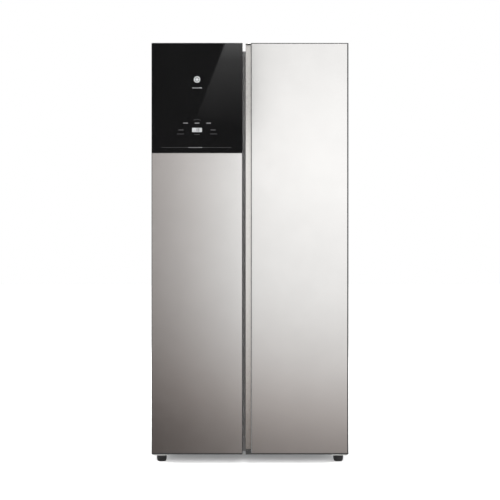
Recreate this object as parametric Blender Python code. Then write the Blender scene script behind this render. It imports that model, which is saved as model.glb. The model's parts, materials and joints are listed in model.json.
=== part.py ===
"""Side-by-side refrigerator: a narrow freezer on the left, a wider fridge on the right, two tall doors.

Metres, +Z up. The doors face -Y, and the origin is the middle of the footprint, on the floor.
Each sub-part is one named object. A moving sub-part hangs from an empty that stands on its joint's axis.
"""

import math
from collections import namedtuple

import bmesh
import bpy
from mathutils import Matrix, Vector

# Driving dimensions of the whole appliance.
WIDTH, DEPTH, HEIGHT = 0.835, 0.645, 1.785
FIT = 0.0003  # gap between two pieces that touch
SHEET = 0.0012  # steel sheet of the case and the door fronts
LINER = 0.002  # vacuum-formed plastic of the inner tubs
INSET = 0.002  # how far the case stands in from the doors' sides

# Doors.
DOOR_THICKNESS = 0.060
DOOR_BOTTOM = 0.040
DOOR_GAP, GAP_CENTRE = 0.013, -0.025
GASKET_DEPTH, GASKET_WIDTH = 0.010, 0.017
FRAME_LINE = 0.0025  # dark frame that shows round each front panel
GLASS_HEIGHT, GLASS_THICKNESS = 0.465, 0.004
AXIS_INSET, AXIS_DEPTH = 0.014, 0.030  # hinge axis from a door's outer side and from its front
PIN_RADIUS, PIN_HOLE = 0.0050, 0.0058
GRIP_OPENING, GRIP_WIDTH, GRIP_DEPTH = 0.023, 0.0375, 0.022
GRIP_BOTTOM, GRIP_END = 0.018, 0.004

# Case.
CASE_TOP, CASE_BOTTOM = 1.759, 0.045
FLANGE = 0.024  # front edge of the steel case
MULLION = 0.060
FREEZER_WALL, FRIDGE_WALL, TOP_WALL = 0.052, 0.040, 0.055
INNER_BOTTOM, RAIL_TOP = 0.125, 0.1095
STEP_Y, STEP_Z = 0.090, 0.285  # where the floor steps up over the machine room
ROOM_Y, ROOM_TOP = 0.132, 0.243
CORNER = 0.012
PANEL_BOTTOM = 0.2858  # lower edge of the rear panel, just above the machine room's cover
COVER_BOTTOM, COVER_TOP = 0.049, 0.285

# Inside.
SHELF_FRONT, SHELF_PLATE = -0.125, 0.004
SHELF_HEIGHTS = (1.400, 1.140, 0.880, 0.620)
LEDGE_DEPTH, LEDGE_HEIGHT = 0.009, 0.006
DRAWER_FRONT, DRAWER_WALL = -0.118, 0.003
LOWER_DRAWER, UPPER_DRAWER = (0.137, 0.372), (0.400, 0.596)
BIN_FRONT, BIN_HEIGHT, BIN_WALL = -0.137, 0.095, 0.0025
BIN_FLOORS = (1.435, 1.060, 0.700)
DIKE_TOP, DIKE_BOTTOM, DIKE_FACE = 1.695, 0.660, -0.2225
TOWER = (0.125, 0.255)  # air duct, left and right sides
ICE_AXIS = (-0.209, 1.545)  # x and z of the ice tray's pivots

# Standing gear.
FOOT_X, FOOT_Y, FOOT_RADIUS = 0.379, -0.235, 0.0215
FOOT_PROFILE = (  # (radius, z), from the bottom up
    (0, 0),
    (0.0125, 0),
    (0.0170, 0.0025),
    (0.0205, 0.0085),
    (FOOT_RADIUS, 0.0170),
    (FOOT_RADIUS, 0.0240),
    (0.0190, 0.0260),
    (0.0060, 0.0270),
    (0.0060, 0.0620),
    (0, 0.0620),
)
NUT_HOLE = 0.0068  # the feet's studs pass through these holes
ROLLER_X, ROLLER_Y, ROLLER_RADIUS = 0.360, 0.260, 0.020
ROLLER_HALF, AXLE_HALF, AXLE_RADIUS = 0.008, 0.014, 0.004

# Machine room, behind the step in the floor.
LOUVRE_LEFTS = (-0.340, -0.220, -0.100, 0.020, 0.140, 0.260)
LOUVRE_BOTTOMS = (0.090, 0.120, 0.150, 0.180)
LOUVRE_LENGTH, LOUVRE_HEIGHT = 0.090, 0.005
CORD_HOLE, CORD_RADIUS = (-0.375, 0.080), 0.009  # its centre is (x, z)
TRAY_TOP = 0.0475  # just above the base frame's floor
COMPRESSOR_X, COMPRESSOR_Y = -0.225, 0.226
COMPRESSOR_PROFILE = (  # (radius, z), from the bottom up
    (0, 0.050),
    (0.052, 0.050),
    (0.052, 0.058),
    (0.066, 0.066),
    (0.072, 0.085),
    (0.072, 0.150),
    (0.066, 0.178),
    (0.048, 0.200),
    (0.022, 0.211),
    (0, 0.214),
)
PAN_X, PAN_Y, PAN_TOP, PAN_WALL = (0.060, 0.330), (0.145, 0.310), 0.076, 0.0025
TUBE_RADIUS, TUBE_ENDS = 0.003, (0.075, 0.310)
TUBE_LAYERS, LAYER_PITCH, LOWEST_LAYER = 4, 0.036, 0.095
TUBE_ROWS, ROW_PITCH, FIRST_ROW = 6, 0.026, 0.160

# Places worked out from the above.
FRONT, REAR = -DEPTH / 2, DEPTH / 2
DOOR_BACK = FRONT + DOOR_THICKNESS
CASE_FRONT = DOOR_BACK + GASKET_DEPTH
CASE_HALF = WIDTH / 2 - INSET
CORE_HALF = CASE_HALF - SHEET - FIT
AXIS_X, AXIS_Y = WIDTH / 2 - AXIS_INSET, FRONT + AXIS_DEPTH
CORE_FRONT = FRONT + SHEET + FIT
GLASS_BOTTOM = HEIGHT - GLASS_HEIGHT
INNER_TOP = CASE_TOP - TOP_WALL
FRIDGE_DOOR_LEFT = GAP_CENTRE + DOOR_GAP / 2
FREEZER_DOOR_RIGHT = GAP_CENTRE - DOOR_GAP / 2
FAN_Z, FAN_Y = 1.200, 0.233
COOLING_FAN = (0.0, 0.226, 0.145)
BLADE_PITCH = math.radians(32)
SHAFT_HOLE = 0.0036
DAMPER = (0.257, 1.600)  # y and z of the flap's spindle

Room = namedtuple("Room", "name left right back shelf_back")
FREEZER = Room("freezer", -CASE_HALF + FREEZER_WALL, GAP_CENTRE - MULLION / 2, 0.2525, 0.190)
FRIDGE = Room("fridge", GAP_CENTRE + MULLION / 2, CASE_HALF - FRIDGE_WALL, 0.2675, 0.238)

COLOURS = {  # name: (base colour, metallic, roughness)
    "door_steel": ((0.60, 0.59, 0.57), 1.0, 0.30),
    "black_glass": ((0.008, 0.008, 0.009), 0.0, 0.05),
    "grip_metal": ((0.62, 0.61, 0.59), 1.0, 0.28),
    "door_frame": ((0.17, 0.17, 0.17), 0.0, 0.50),
    "case_paint": ((0.33, 0.33, 0.33), 0.2, 0.45),
    "cover_plastic": ((0.30, 0.30, 0.30), 0.0, 0.50),
    "galvanised": ((0.52, 0.53, 0.54), 0.9, 0.45),
    "foam": ((0.80, 0.73, 0.48), 0.0, 0.90),
    "white_liner": ((0.86, 0.87, 0.88), 0.0, 0.35),
    "seal": ((0.30, 0.30, 0.31), 0.0, 0.70),
    "clear_plastic": ((0.80, 0.86, 0.90), 0.0, 0.12),
    "shelf_glass": ((0.70, 0.82, 0.80), 0.0, 0.06),
    "black_plastic": ((0.02, 0.02, 0.02), 0.0, 0.50),
    "compressor_paint": ((0.015, 0.015, 0.016), 0.0, 0.30),
    "copper": ((0.70, 0.34, 0.20), 1.0, 0.30),
    "aluminium": ((0.72, 0.73, 0.74), 1.0, 0.35),
    "ice_plastic": ((0.55, 0.72, 0.86), 0.0, 0.30),
}


# Shapes. Each makes a closed bmesh in the appliance's own coordinates.


def box(x, y, z):
    """A block from three (low, high) pairs."""
    bm = bmesh.new()
    bmesh.ops.create_cube(bm, size=1.0)
    size = Vector((x[1] - x[0], y[1] - y[0], z[1] - z[0]))
    centre = Vector((x[0] + x[1], y[0] + y[1], z[0] + z[1])) / 2
    bmesh.ops.scale(bm, vec=size, verts=bm.verts)
    bmesh.ops.translate(bm, vec=centre, verts=bm.verts)
    return bm


def prism(outline, axis, span):
    """An outline extruded along an axis. The outline is (y, z) for X, (x, z) for Y and (x, y) for Z."""
    bm = bmesh.new()
    place = {
        "X": lambda a, b: (span[0], a, b),
        "Y": lambda a, b: (a, span[0], b),
        "Z": lambda a, b: (a, b, span[0]),
    }[axis]
    bottom = bm.faces.new([bm.verts.new(place(a, b)) for a, b in outline])
    swept = bmesh.ops.extrude_face_region(bm, geom=[bottom])
    moved = [v for v in swept["geom"] if isinstance(v, bmesh.types.BMVert)]
    along = Vector([span[1] - span[0] if letter == axis else 0.0 for letter in "XYZ"])
    bmesh.ops.translate(bm, verts=moved, vec=along)
    bmesh.ops.recalc_face_normals(bm, faces=bm.faces)
    return bm


def rod(axis, centre, radius, span, segments=16):
    """A cylinder along an axis. The centre is its other two coordinates, in X, Y, Z order."""
    outline = [
        (
            centre[0] + radius * math.cos(math.tau * i / segments),
            centre[1] + radius * math.sin(math.tau * i / segments),
        )
        for i in range(segments)
    ]
    return prism(outline, axis, span)


def turned(profile, x, y, segments=20):
    """A profile of (radius, z), from the bottom up, turned about a vertical line."""
    bm = bmesh.new()
    rings = []
    for radius, z in profile:
        if radius == 0:
            rings.append([bm.verts.new((x, y, z))] * segments)
            continue
        turns = [math.tau * i / segments for i in range(segments)]
        rings.append([bm.verts.new((x + radius * math.cos(t), y + radius * math.sin(t), z)) for t in turns])
    for low, high in zip(rings, rings[1:]):
        for i in range(segments):
            corners = (low[i], low[(i + 1) % segments], high[(i + 1) % segments], high[i])
            bm.faces.new(list(dict.fromkeys(corners)))
    bmesh.ops.recalc_face_normals(bm, faces=bm.faces)
    return bm


def rounded(bm, width, segments=2, where=lambda edge: True):
    """The same shape with the chosen edges rounded."""
    edges = [edge for edge in bm.edges if where(edge)]
    bmesh.ops.bevel(bm, geom=edges, offset=width, segments=segments, profile=0.5, affect="EDGES")
    return bm


def upright(edge):
    first, second = (v.co for v in edge.verts)
    return abs((first - second).z) > 0.9 * (first - second).length


def together(shapes):
    """Several shapes that don't touch, in one bmesh."""
    whole = shapes[0]
    for shape in shapes[1:]:
        part = bpy.data.meshes.new("part")
        shape.to_mesh(part)
        whole.from_mesh(part)
        bpy.data.meshes.remove(part)
        shape.free()
    return whole


# Objects.


def material(name):
    made = bpy.data.materials.get(name)
    if made:
        return made
    colour, metallic, roughness = COLOURS[name]
    made = bpy.data.materials.new(name)
    made.use_nodes = True
    shader = made.node_tree.nodes["Principled BSDF"]
    shader.inputs["Base Color"].default_value = (*colour, 1.0)
    shader.inputs["Metallic"].default_value = metallic
    shader.inputs["Roughness"].default_value = roughness
    made.diffuse_color = (*colour, 1.0)
    return made


def joint_axis(name, place, parent=None):
    """An empty on a joint's axis. Its child pieces turn or slide with it."""
    empty = bpy.data.objects.new(name, None)
    bpy.context.scene.collection.objects.link(empty)
    empty.empty_display_size = 0.05
    empty.location = Vector(place) - (world_place(parent) if parent else Vector())
    empty.parent = parent
    return empty


def world_place(obj):
    """Where an unturned object's origin is. Every parent here only shifts its children."""
    place = Vector()
    while obj is not None:
        place += obj.location
        obj = obj.parent
    return place


def body(name, shape, finish, axis=None, smooth=False):
    """A named sub-part. Its origin is on its joint's axis, or the appliance's origin if it stays put."""
    mesh = bpy.data.meshes.new(name)
    shape.to_mesh(mesh)
    shape.free()
    obj = bpy.data.objects.new(name, mesh)
    bpy.context.scene.collection.objects.link(obj)
    if axis is not None:
        mesh.transform(Matrix.Translation(-world_place(axis)))
        obj.parent = axis
    mesh.materials.append(material(finish))
    if smooth:
        mesh.shade_smooth()
        mesh.set_sharp_from_angle(angle=math.radians(35))
    return obj


def combine(obj, operation, shape):
    """A Boolean with a helper that isn't rendered."""
    mesh = bpy.data.meshes.new(obj.name + "_tool")
    shape.to_mesh(mesh)
    shape.free()
    tool = bpy.data.objects.new(obj.name + "_tool", mesh)
    bpy.context.scene.collection.objects.link(tool)
    tool.hide_render = True
    tool.display_type = "WIRE"
    modifier = obj.modifiers.new(operation.lower(), "BOOLEAN")
    modifier.operation = operation
    modifier.object = tool
    modifier.solver = "EXACT"


def fuse(obj, *shapes):
    for shape in shapes:
        combine(obj, "UNION", shape)


def cut(obj, *shapes):
    for shape in shapes:
        combine(obj, "DIFFERENCE", shape)


# The case.


def cavity(room, grow=0.0, front=CASE_FRONT, corner=0.0):
    """The space inside a compartment, with its step over the machine room, grown all round."""
    outline = [
        (front, INNER_BOTTOM - grow),
        (STEP_Y + grow, INNER_BOTTOM - grow),
        (STEP_Y + grow, STEP_Z - grow),
        (room.back + grow, STEP_Z - grow),
        (room.back + grow, INNER_TOP + grow),
        (front, INNER_TOP + grow),
    ]
    shape = prism(outline, "X", (room.left - grow, room.right + grow))
    if not corner:
        return shape
    return rounded(shape, corner, where=lambda edge: max(v.co.y for v in edge.verts) > front + 0.001)


def ledges(room):
    """Moulded ledges along both side walls, and two runners on the floor for the lower drawer."""
    shelves = SHELF_HEIGHTS if room is FRIDGE else SHELF_HEIGHTS[1:]
    made = []
    for wall, side in ((room.left, 1), (room.right, -1)):
        for height in (*shelves, UPPER_DRAWER[0]):
            top = height - FIT
            reach = sorted((wall - side * LINER / 2, wall + side * LEDGE_DEPTH))
            made.append(box(reach, (-0.100, room.shelf_back - 0.025), (top - LEDGE_HEIGHT, top)))
        runner = sorted((wall + side * 0.014, wall + side * 0.026))
        made.append(box(runner, (-0.100, 0.070), (INNER_BOTTOM - LINER / 2, LOWER_DRAWER[0] - FIT)))
    return together(made)


def liner(room, flange):
    """A vacuum-formed tub, with the flange that meets the steel of the case."""
    tub = body(
        room.name + "_liner",
        box(flange, (CASE_FRONT, CASE_FRONT + LINER), (RAIL_TOP + FIT, CASE_TOP - FLANGE - FIT)),
        "white_liner",
    )
    fuse(tub, cavity(room, LINER, CASE_FRONT, CORNER + LINER))
    cut(tub, cavity(room, 0.0, CASE_FRONT - 0.02, CORNER))
    fuse(tub, ledges(room))


def outer_case():
    """The painted steel wrapper: two sides and a top in one sheet, folded in at the front."""
    side = (-CASE_HALF, CASE_HALF)
    inside = (-CASE_HALF + SHEET, CASE_HALF - SHEET)
    opening = (-CASE_HALF + FLANGE, CASE_HALF - FLANGE)
    back = REAR - SHEET - FIT
    case = body("outer_case", box(side, (CASE_FRONT, back), (CASE_BOTTOM, CASE_TOP)), "case_paint")
    cut(
        case,
        box(inside, (CASE_FRONT + SHEET, REAR), (0, CASE_TOP - SHEET)),
        box(opening, (CASE_FRONT - 0.01, CASE_FRONT + 0.01), (0, CASE_TOP - FLANGE)),
    )
    body(
        "rear_panel",
        box((-CORE_HALF, CORE_HALF), (REAR - SHEET, REAR), (PANEL_BOTTOM, CASE_TOP - 0.0005)),
        "galvanised",
    )


def insulation():
    """The foam between the steel and the two tubs, cast in one piece."""
    clear = LINER + FIT
    y = (CASE_FRONT + clear, REAR - SHEET - 2 * FIT)
    z = (CASE_BOTTOM + 0.021, CASE_TOP - SHEET - FIT)
    foam = body("insulation_foam", box((-CORE_HALF, CORE_HALF), y, z), "foam")
    cut(
        foam,
        cavity(FREEZER, clear, CASE_FRONT - 0.02, CORNER + clear),
        cavity(FRIDGE, clear, CASE_FRONT - 0.02, CORNER + clear),
        box((-0.5, 0.5), (ROOM_Y, REAR + 0.02), (0, ROOM_TOP)),
    )


def mullion_strip():
    """The steel cover on the divider, which both door seals close against."""
    edge = 0.010
    body(
        "mullion_strip",
        box(
            (FREEZER.right + edge, FRIDGE.left - edge),
            (CASE_FRONT, CASE_FRONT + SHEET),
            (RAIL_TOP + FIT, CASE_TOP - FLANGE - FIT),
        ),
        "galvanised",
    )


def base_frame():
    """The bottom tray: front rail, side walls, roller forks and the two nuts' holes for the feet."""
    wall = 0.0015
    front = CASE_FRONT + SHEET + FIT
    frame = body(
        "base_frame",
        box((-CORE_HALF, CORE_HALF), (front, REAR - SHEET - FIT), (CASE_BOTTOM, CASE_BOTTOM + 0.002)),
        "galvanised",
    )
    rail = CASE_HALF - FLANGE - FIT
    fuse(frame, box((-rail, rail), (CASE_FRONT, CASE_FRONT + LINER), (CASE_BOTTOM, RAIL_TOP)))
    for side in (-1, 1):
        across = sorted((side * CORE_HALF, side * (CORE_HALF - wall)))
        fuse(
            frame,
            box(across, (front, ROOM_Y + 0.001), (CASE_BOTTOM, CASE_BOTTOM + 0.020)),
            box(across, (ROOM_Y + FIT, REAR - SHEET - FIT), (CASE_BOTTOM, ROOM_TOP - 0.002)),
        )
        fork = (ROLLER_Y - 0.016, ROLLER_Y + 0.016)
        for cheek in (-0.0110, 0.0110):
            middle = side * ROLLER_X + cheek
            fuse(frame, box((middle - 0.0015, middle + 0.0015), fork, (0.009, CASE_BOTTOM + 0.001)))
        reach = sorted((side * (ROLLER_X - 0.018), side * (ROLLER_X + 0.018)))
        cut(
            frame,
            rod("X", (ROLLER_Y, ROLLER_RADIUS), AXLE_RADIUS + 0.0006, reach),
            rod("Z", (side * FOOT_X, FOOT_Y), NUT_HOLE, (CASE_BOTTOM - 0.01, CASE_BOTTOM + 0.01)),
        )


def standing_gear():
    """Two screwed levelling feet in front and two rollers behind."""
    for side, name in ((-1, "left"), (1, "right")):
        foot = joint_axis(f"foot_{name}_axis", (side * FOOT_X, FOOT_Y, 0))
        screw = turned(FOOT_PROFILE, side * FOOT_X, FOOT_Y)
        body(f"foot_{name}", screw, "black_plastic", foot, smooth=True)
        spindle = joint_axis(f"roller_{name}_axis", (side * ROLLER_X, ROLLER_Y, ROLLER_RADIUS))
        middle = side * ROLLER_X
        centre, width = (ROLLER_Y, ROLLER_RADIUS), (middle - ROLLER_HALF, middle + ROLLER_HALF)
        tyre = rod("X", centre, ROLLER_RADIUS, width, 24)
        roller = body(f"roller_{name}", tyre, "black_plastic", spindle, smooth=True)
        fuse(roller, rod("X", centre, AXLE_RADIUS, (middle - AXLE_HALF, middle + AXLE_HALF)))


def hinges():
    """Top and bottom hinge plates, each with its pin, and the covers over the top ones."""
    plate_top = CASE_TOP + 0.0033
    for side, name in ((-1, "left"), (1, "right")):
        outer, inner = side * (CASE_HALF - 0.003), side * (CASE_HALF - 0.070)
        pin = (side * AXIS_X, AXIS_Y)
        reach = sorted((outer, inner))
        top = body(
            f"top_hinge_{name}",
            box(reach, (CASE_FRONT + 0.002, CASE_FRONT + 0.090), (CASE_TOP + FIT, plate_top)),
            "galvanised",
        )
        arm = sorted((side * (AXIS_X + 0.0085), side * (AXIS_X - 0.0160)))
        fuse(
            top,
            box(arm, (AXIS_Y, CASE_FRONT + 0.010), (CASE_TOP + FIT, plate_top)),
            rod("Z", pin, 0.0088, (CASE_TOP + FIT, plate_top), 20),
            rod("Z", pin, PIN_RADIUS, (CASE_TOP - 0.036, plate_top - 0.001)),
        )
        hinge_cover(name, side, plate_top)
        low, high = DOOR_BOTTOM - 0.006, DOOR_BOTTOM - 0.0025
        bottom = body(
            f"bottom_hinge_{name}",
            box(reach, (AXIS_Y - 0.013, FOOT_Y + 0.045), (low, high)),
            "galvanised",
        )
        fuse(
            bottom,
            box(reach, (CASE_FRONT + 0.002, FOOT_Y + 0.045), (low, CASE_BOTTOM - FIT)),
            rod("Z", pin, PIN_RADIUS, (low + 0.001, DOOR_BOTTOM + 0.022)),
        )
        cut(bottom, rod("Z", (side * FOOT_X, FOOT_Y), NUT_HOLE, (0.02, 0.06)))


def hinge_cover(name, side, plate_top):
    """A moulded cap, open below, that hides a top hinge."""
    low, high = CASE_TOP + FIT, HEIGHT - 0.003
    outer, inner = side * (CASE_HALF - 0.001), side * (CASE_HALF - 0.075)
    shape = box(sorted((outer, inner)), (AXIS_Y - 0.0125, CASE_FRONT + 0.105), (low, high))
    cover = body(
        f"hinge_cover_{name}",
        rounded(shape, 0.006, where=lambda edge: max(v.co.z for v in edge.verts) > high - 0.001),
        "cover_plastic",
        smooth=True,
    )
    outer, inner = side * (CASE_HALF - 0.0025), side * (CASE_HALF - 0.0730)
    cut(
        cover,
        box(sorted((outer, inner)), (AXIS_Y - 0.0115, CASE_FRONT + 0.103), (low - 0.01, plate_top + 0.008)),
    )


# The machine room and the cooling parts.


def machine_room():
    cover = body(
        "machine_cover",
        box((-CORE_HALF, CORE_HALF), (REAR - SHEET, REAR), (COVER_BOTTOM, COVER_TOP)),
        "galvanised",
    )
    through = (REAR - 0.01, REAR + 0.01)
    louvres = [
        box((left, left + LOUVRE_LENGTH), through, (low, low + LOUVRE_HEIGHT))
        for left in LOUVRE_LEFTS
        for low in LOUVRE_BOTTOMS
    ]
    cut(cover, together(louvres), rod("Y", CORD_HOLE, CORD_RADIUS, through))

    x, y = COMPRESSOR_X, COMPRESSOR_Y
    shell = turned(COMPRESSOR_PROFILE, x, y, 24)
    compressor = body("compressor", shell, "compressor_paint", smooth=True)
    fuse(compressor, box((x - 0.090, x + 0.090), (y - 0.060, y + 0.060), (TRAY_TOP, TRAY_TOP + 0.004)))

    tray = body("drain_pan", box(PAN_X, PAN_Y, (TRAY_TOP, PAN_TOP)), "black_plastic")
    across, along = [(low + PAN_WALL, high - PAN_WALL) for low, high in (PAN_X, PAN_Y)]
    cut(tray, box(across, along, (TRAY_TOP + PAN_WALL, PAN_TOP + 0.01)))
    condenser_coil()
    fan_and_shroud()


def condenser_coil():
    """One bent tube: flat loops stacked above the drain pan, joined end to end."""
    curve = bpy.data.curves.new("condenser_coil", "CURVE")
    curve.dimensions = "3D"
    curve.bevel_depth = TUBE_RADIUS
    curve.bevel_resolution = 1
    curve.use_fill_caps = True
    points = []
    for layer in range(TUBE_LAYERS):
        z = LOWEST_LAYER + LAYER_PITCH * layer
        rows = range(TUBE_ROWS) if layer % 2 == 0 else reversed(range(TUBE_ROWS))
        for step, row in enumerate(rows):
            y = FIRST_ROW + ROW_PITCH * row
            ends = TUBE_ENDS if (step + TUBE_ROWS * layer) % 2 == 0 else TUBE_ENDS[::-1]
            points += [(x, y, z) for x in ends]
    spline = curve.splines.new("POLY")
    spline.points.add(len(points) - 1)
    for point, place in zip(spline.points, points):
        point.co = (*place, 1)
    coil = bpy.data.objects.new("condenser_coil", curve)
    bpy.context.scene.collection.objects.link(coil)
    curve.materials.append(material("copper"))


def fan(name, centre, axis, hub, tip, depth, spindle):
    """A hub with pitched blades. The spindle is the (low, high) of its shaft along the axis."""
    where = joint_axis(name + "_axis", centre)
    index = "XYZ".index(axis)
    across = [c for i, c in enumerate(centre) if i != index]
    span = (centre[index] - depth / 2, centre[index] + depth / 2)
    wheel = body(name, rod(axis, across, hub, span), "black_plastic", where)
    fuse(wheel, rod(axis, across, 0.003, spindle, 12), blades(centre, axis, hub, tip, depth))


def blades(centre, axis, hub, tip, depth, count=5):
    """Flat pitched blades, their roots just inside the hub."""
    turn_to_axis = Matrix.Rotation(math.pi / 2, 4, "Y" if axis == "X" else "X")
    made = []
    for i in range(count):
        blade = box((hub - 0.003, tip), (-0.36 * tip, 0.36 * tip), (-0.001, 0.001))
        taper(blade, hub, depth)
        pitch = Matrix.Rotation(BLADE_PITCH, 4, "X")
        around = Matrix.Rotation(math.tau * i / count, 4, "Z")
        place = Matrix.Translation(centre) @ turn_to_axis @ around @ pitch
        bmesh.ops.transform(blade, matrix=place, verts=blade.verts)
        made.append(blade)
    return together(made)


def taper(blade, hub, depth):
    """Narrows a blade's root, so that the pitched root stays within the hub's depth."""
    root = 0.8 * depth / 2 / math.sin(BLADE_PITCH)
    for v in blade.verts:
        if v.co.x < hub:
            v.co.y = math.copysign(min(root, abs(v.co.y)), v.co.y)


def fan_and_shroud():
    """A sheet with a round opening, a strut across it that carries the fan's bearing, and the fan."""
    x, y, z = COOLING_FAN
    opening, bearing = 0.070, 0.020
    plate = (x - 0.044, x - 0.040)
    sheet = box(plate, (ROOM_Y + 0.004, REAR - 0.005), (TRAY_TOP, ROOM_TOP - 0.003))
    shroud = body("fan_shroud", sheet, "black_plastic")
    cut(shroud, rod("X", (y, z), opening, (x - 0.06, x - 0.02), 28))
    fuse(
        shroud,
        box(plate, (y - 0.009, y + 0.009), (z - opening - 0.006, z + opening + 0.006)),
        rod("X", (y, z), bearing, (plate[0], x - 0.020)),
    )
    cut(shroud, rod("X", (y, z), SHAFT_HOLE, (x - 0.032, x - 0.010), 12))
    fan("condenser_fan", COOLING_FAN, "X", 0.022, 0.064, 0.020, (x - 0.030, x))


def freezer_cooling():
    """The finned evaporator, its fan, and the vented cover in front of them."""
    left, right = FREEZER.left + 0.002, FREEZER.right - 0.002
    middle = (left + right) / 2
    front, back = 0.200, 0.203
    cover = body("evaporator_cover", box((left, right), (front, back), (0.300, 1.690)), "white_liner")
    fuse(cover, rod("Y", (middle, FAN_Z), 0.022, (back - 0.0015, back + 0.015), 20))
    slots = [
        box((middle - 0.090, middle + 0.090), (front - 0.01, back + 0.007), (z, z + 0.008))
        for z in (0.330, 0.355, 0.380, 1.430, 1.465, 1.640, 1.665)
    ]
    cut(cover, together(slots), rod("Y", (middle, FAN_Z), SHAFT_HOLE, (back + 0.005, back + 0.022), 12))
    fan("evaporator_fan", (middle, FAN_Y, FAN_Z), "Y", 0.016, 0.046, 0.018, (back + 0.007, FAN_Y))
    evaporator(middle)


def evaporator(middle):
    """A block of fins on a solid root."""
    fins, pitch, thickness = 13, 0.020, 0.004
    bottom, root, top = 0.620, 0.640, 0.960
    start = middle - pitch * (fins - 1) / 2 - thickness / 2
    outline = [(start, bottom), (start + pitch * (fins - 1) + thickness, bottom)]
    for i in reversed(range(fins)):
        x = start + pitch * i
        outline += [(x + thickness, top), (x, top)]
        if i:
            outline += [(x, root), (x - pitch + thickness, root)]
    body("evaporator", prism(outline, "Y", (0.208, 0.246)), "aluminium")


def fridge_air():
    """The air tower on the fridge's back wall, with the damper flap inside its top."""
    y = (0.245, FRIDGE.back - FIT)
    tower = body("air_duct", box(TOWER, y, (0.680, 1.660)), "white_liner")
    cut(tower, box((TOWER[0] + 0.002, TOWER[1] - 0.002), (y[0] + 0.002, y[1] + 0.01), (0.682, 1.658)))
    vent = (TOWER[0] + 0.025, TOWER[1] - 0.025)
    vents = [
        box(vent, (y[0] - 0.01, y[0] + 0.01), (height + 0.155, height + 0.161))
        for height in SHELF_HEIGHTS
    ]
    cut(tower, together(vents))
    spindle = joint_axis("damper_axis", ((TOWER[0] + TOWER[1]) / 2, *DAMPER))
    cut(tower, rod("X", DAMPER, 0.0024, (TOWER[0] - 0.01, TOWER[1] + 0.01), 12))
    x, depth, half = (TOWER[0] + 0.004, TOWER[1] - 0.004), 0.0078, 0.001
    plate = box(x, (DAMPER[0] - depth, DAMPER[0] + depth), (DAMPER[1] - half, DAMPER[1] + half))
    flap = body("damper_flap", plate, "white_liner", spindle)
    fuse(flap, rod("X", DAMPER, 0.0017, (TOWER[0] + 0.0002, TOWER[1] - 0.0002), 12))


# What the compartments hold.


def shelf(name, room, height):
    """A plate with a deeper front trim and a raised back trim."""
    x = (room.left + 0.0015, room.right - 0.0015)
    y = (SHELF_FRONT + 0.001, room.shelf_back - 0.001)
    plate = body(name, box(x, y, (height, height + SHELF_PLATE)), "shelf_glass")
    fuse(
        plate,
        box(x, (SHELF_FRONT, SHELF_FRONT + 0.016), (height - 0.010, height + 0.0065)),
        box(x, (room.shelf_back - 0.012, room.shelf_back), (height - 0.005, height + 0.012)),
    )


def shelves():
    for number, height in enumerate(SHELF_HEIGHTS, 1):
        shelf(f"fridge_shelf_{number}", FRIDGE, height)
    for number, height in enumerate(SHELF_HEIGHTS[1:], 1):
        shelf(f"freezer_shelf_{number}", FREEZER, height)


def drawer(name, room, heights, back):
    """An open box with a thicker front and a lip to pull it by."""
    side = 0.0075
    low, high = heights
    x = (room.left + side, room.right - side)
    slide = joint_axis(name + "_slide", ((x[0] + x[1]) / 2, DRAWER_FRONT, low))
    shape = rounded(box(x, (DRAWER_FRONT, back), (low, high)), 0.008, where=upright)
    tub = body(name, shape, "clear_plastic", slide)
    lip = (DRAWER_FRONT - 0.010, DRAWER_FRONT + 0.003)
    fuse(tub, box((x[0] + 0.030, x[1] - 0.030), lip, (high - 0.022, high - 0.004)))
    wall = DRAWER_WALL
    along = (DRAWER_FRONT + 2 * wall, back - wall)
    inside = box((x[0] + wall, x[1] - wall), along, (low + wall, high + 0.01))
    cut(tub, rounded(inside, 0.006, where=upright))
    return tub, slide


def drawers():
    low_back, high_back = STEP_Y - 0.010, 0.012
    for room, names in ((FREEZER, "freezer_drawer"), (FRIDGE, "crisper")):
        drawer(names + "_lower", room, LOWER_DRAWER, low_back)
        upper, slide = drawer(names + "_upper", room, UPPER_DRAWER, room.shelf_back - high_back)
        if room is FRIDGE:
            humidity_slider(upper, slide)


def humidity_slider(tub, slide):
    """A vent slot in the crisper's front, and the slider that covers part of it."""
    middle, z = (FRIDGE.left + FRIDGE.right) / 2, UPPER_DRAWER[1] - 0.060
    front = DRAWER_FRONT
    cut(tub, box((middle - 0.045, middle + 0.045), (front - 0.010, front + 0.010), (z - 0.004, z + 0.004)))
    rail = joint_axis("humidity_slider_axis", (middle - 0.020, front, z), slide)
    plate = box((middle - 0.043, middle + 0.003), (front - 0.003, front - FIT), (z - 0.007, z + 0.007))
    knob = body("humidity_slider", plate, "white_liner", rail)
    fuse(
        knob,
        box((middle - 0.023, middle - 0.017), (front - 0.007, front - 0.001), (z - 0.006, z + 0.006)),
        box((middle - 0.030, middle - 0.010), (front - 0.001, front + 0.006), (z - 0.003, z + 0.003)),
    )


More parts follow.
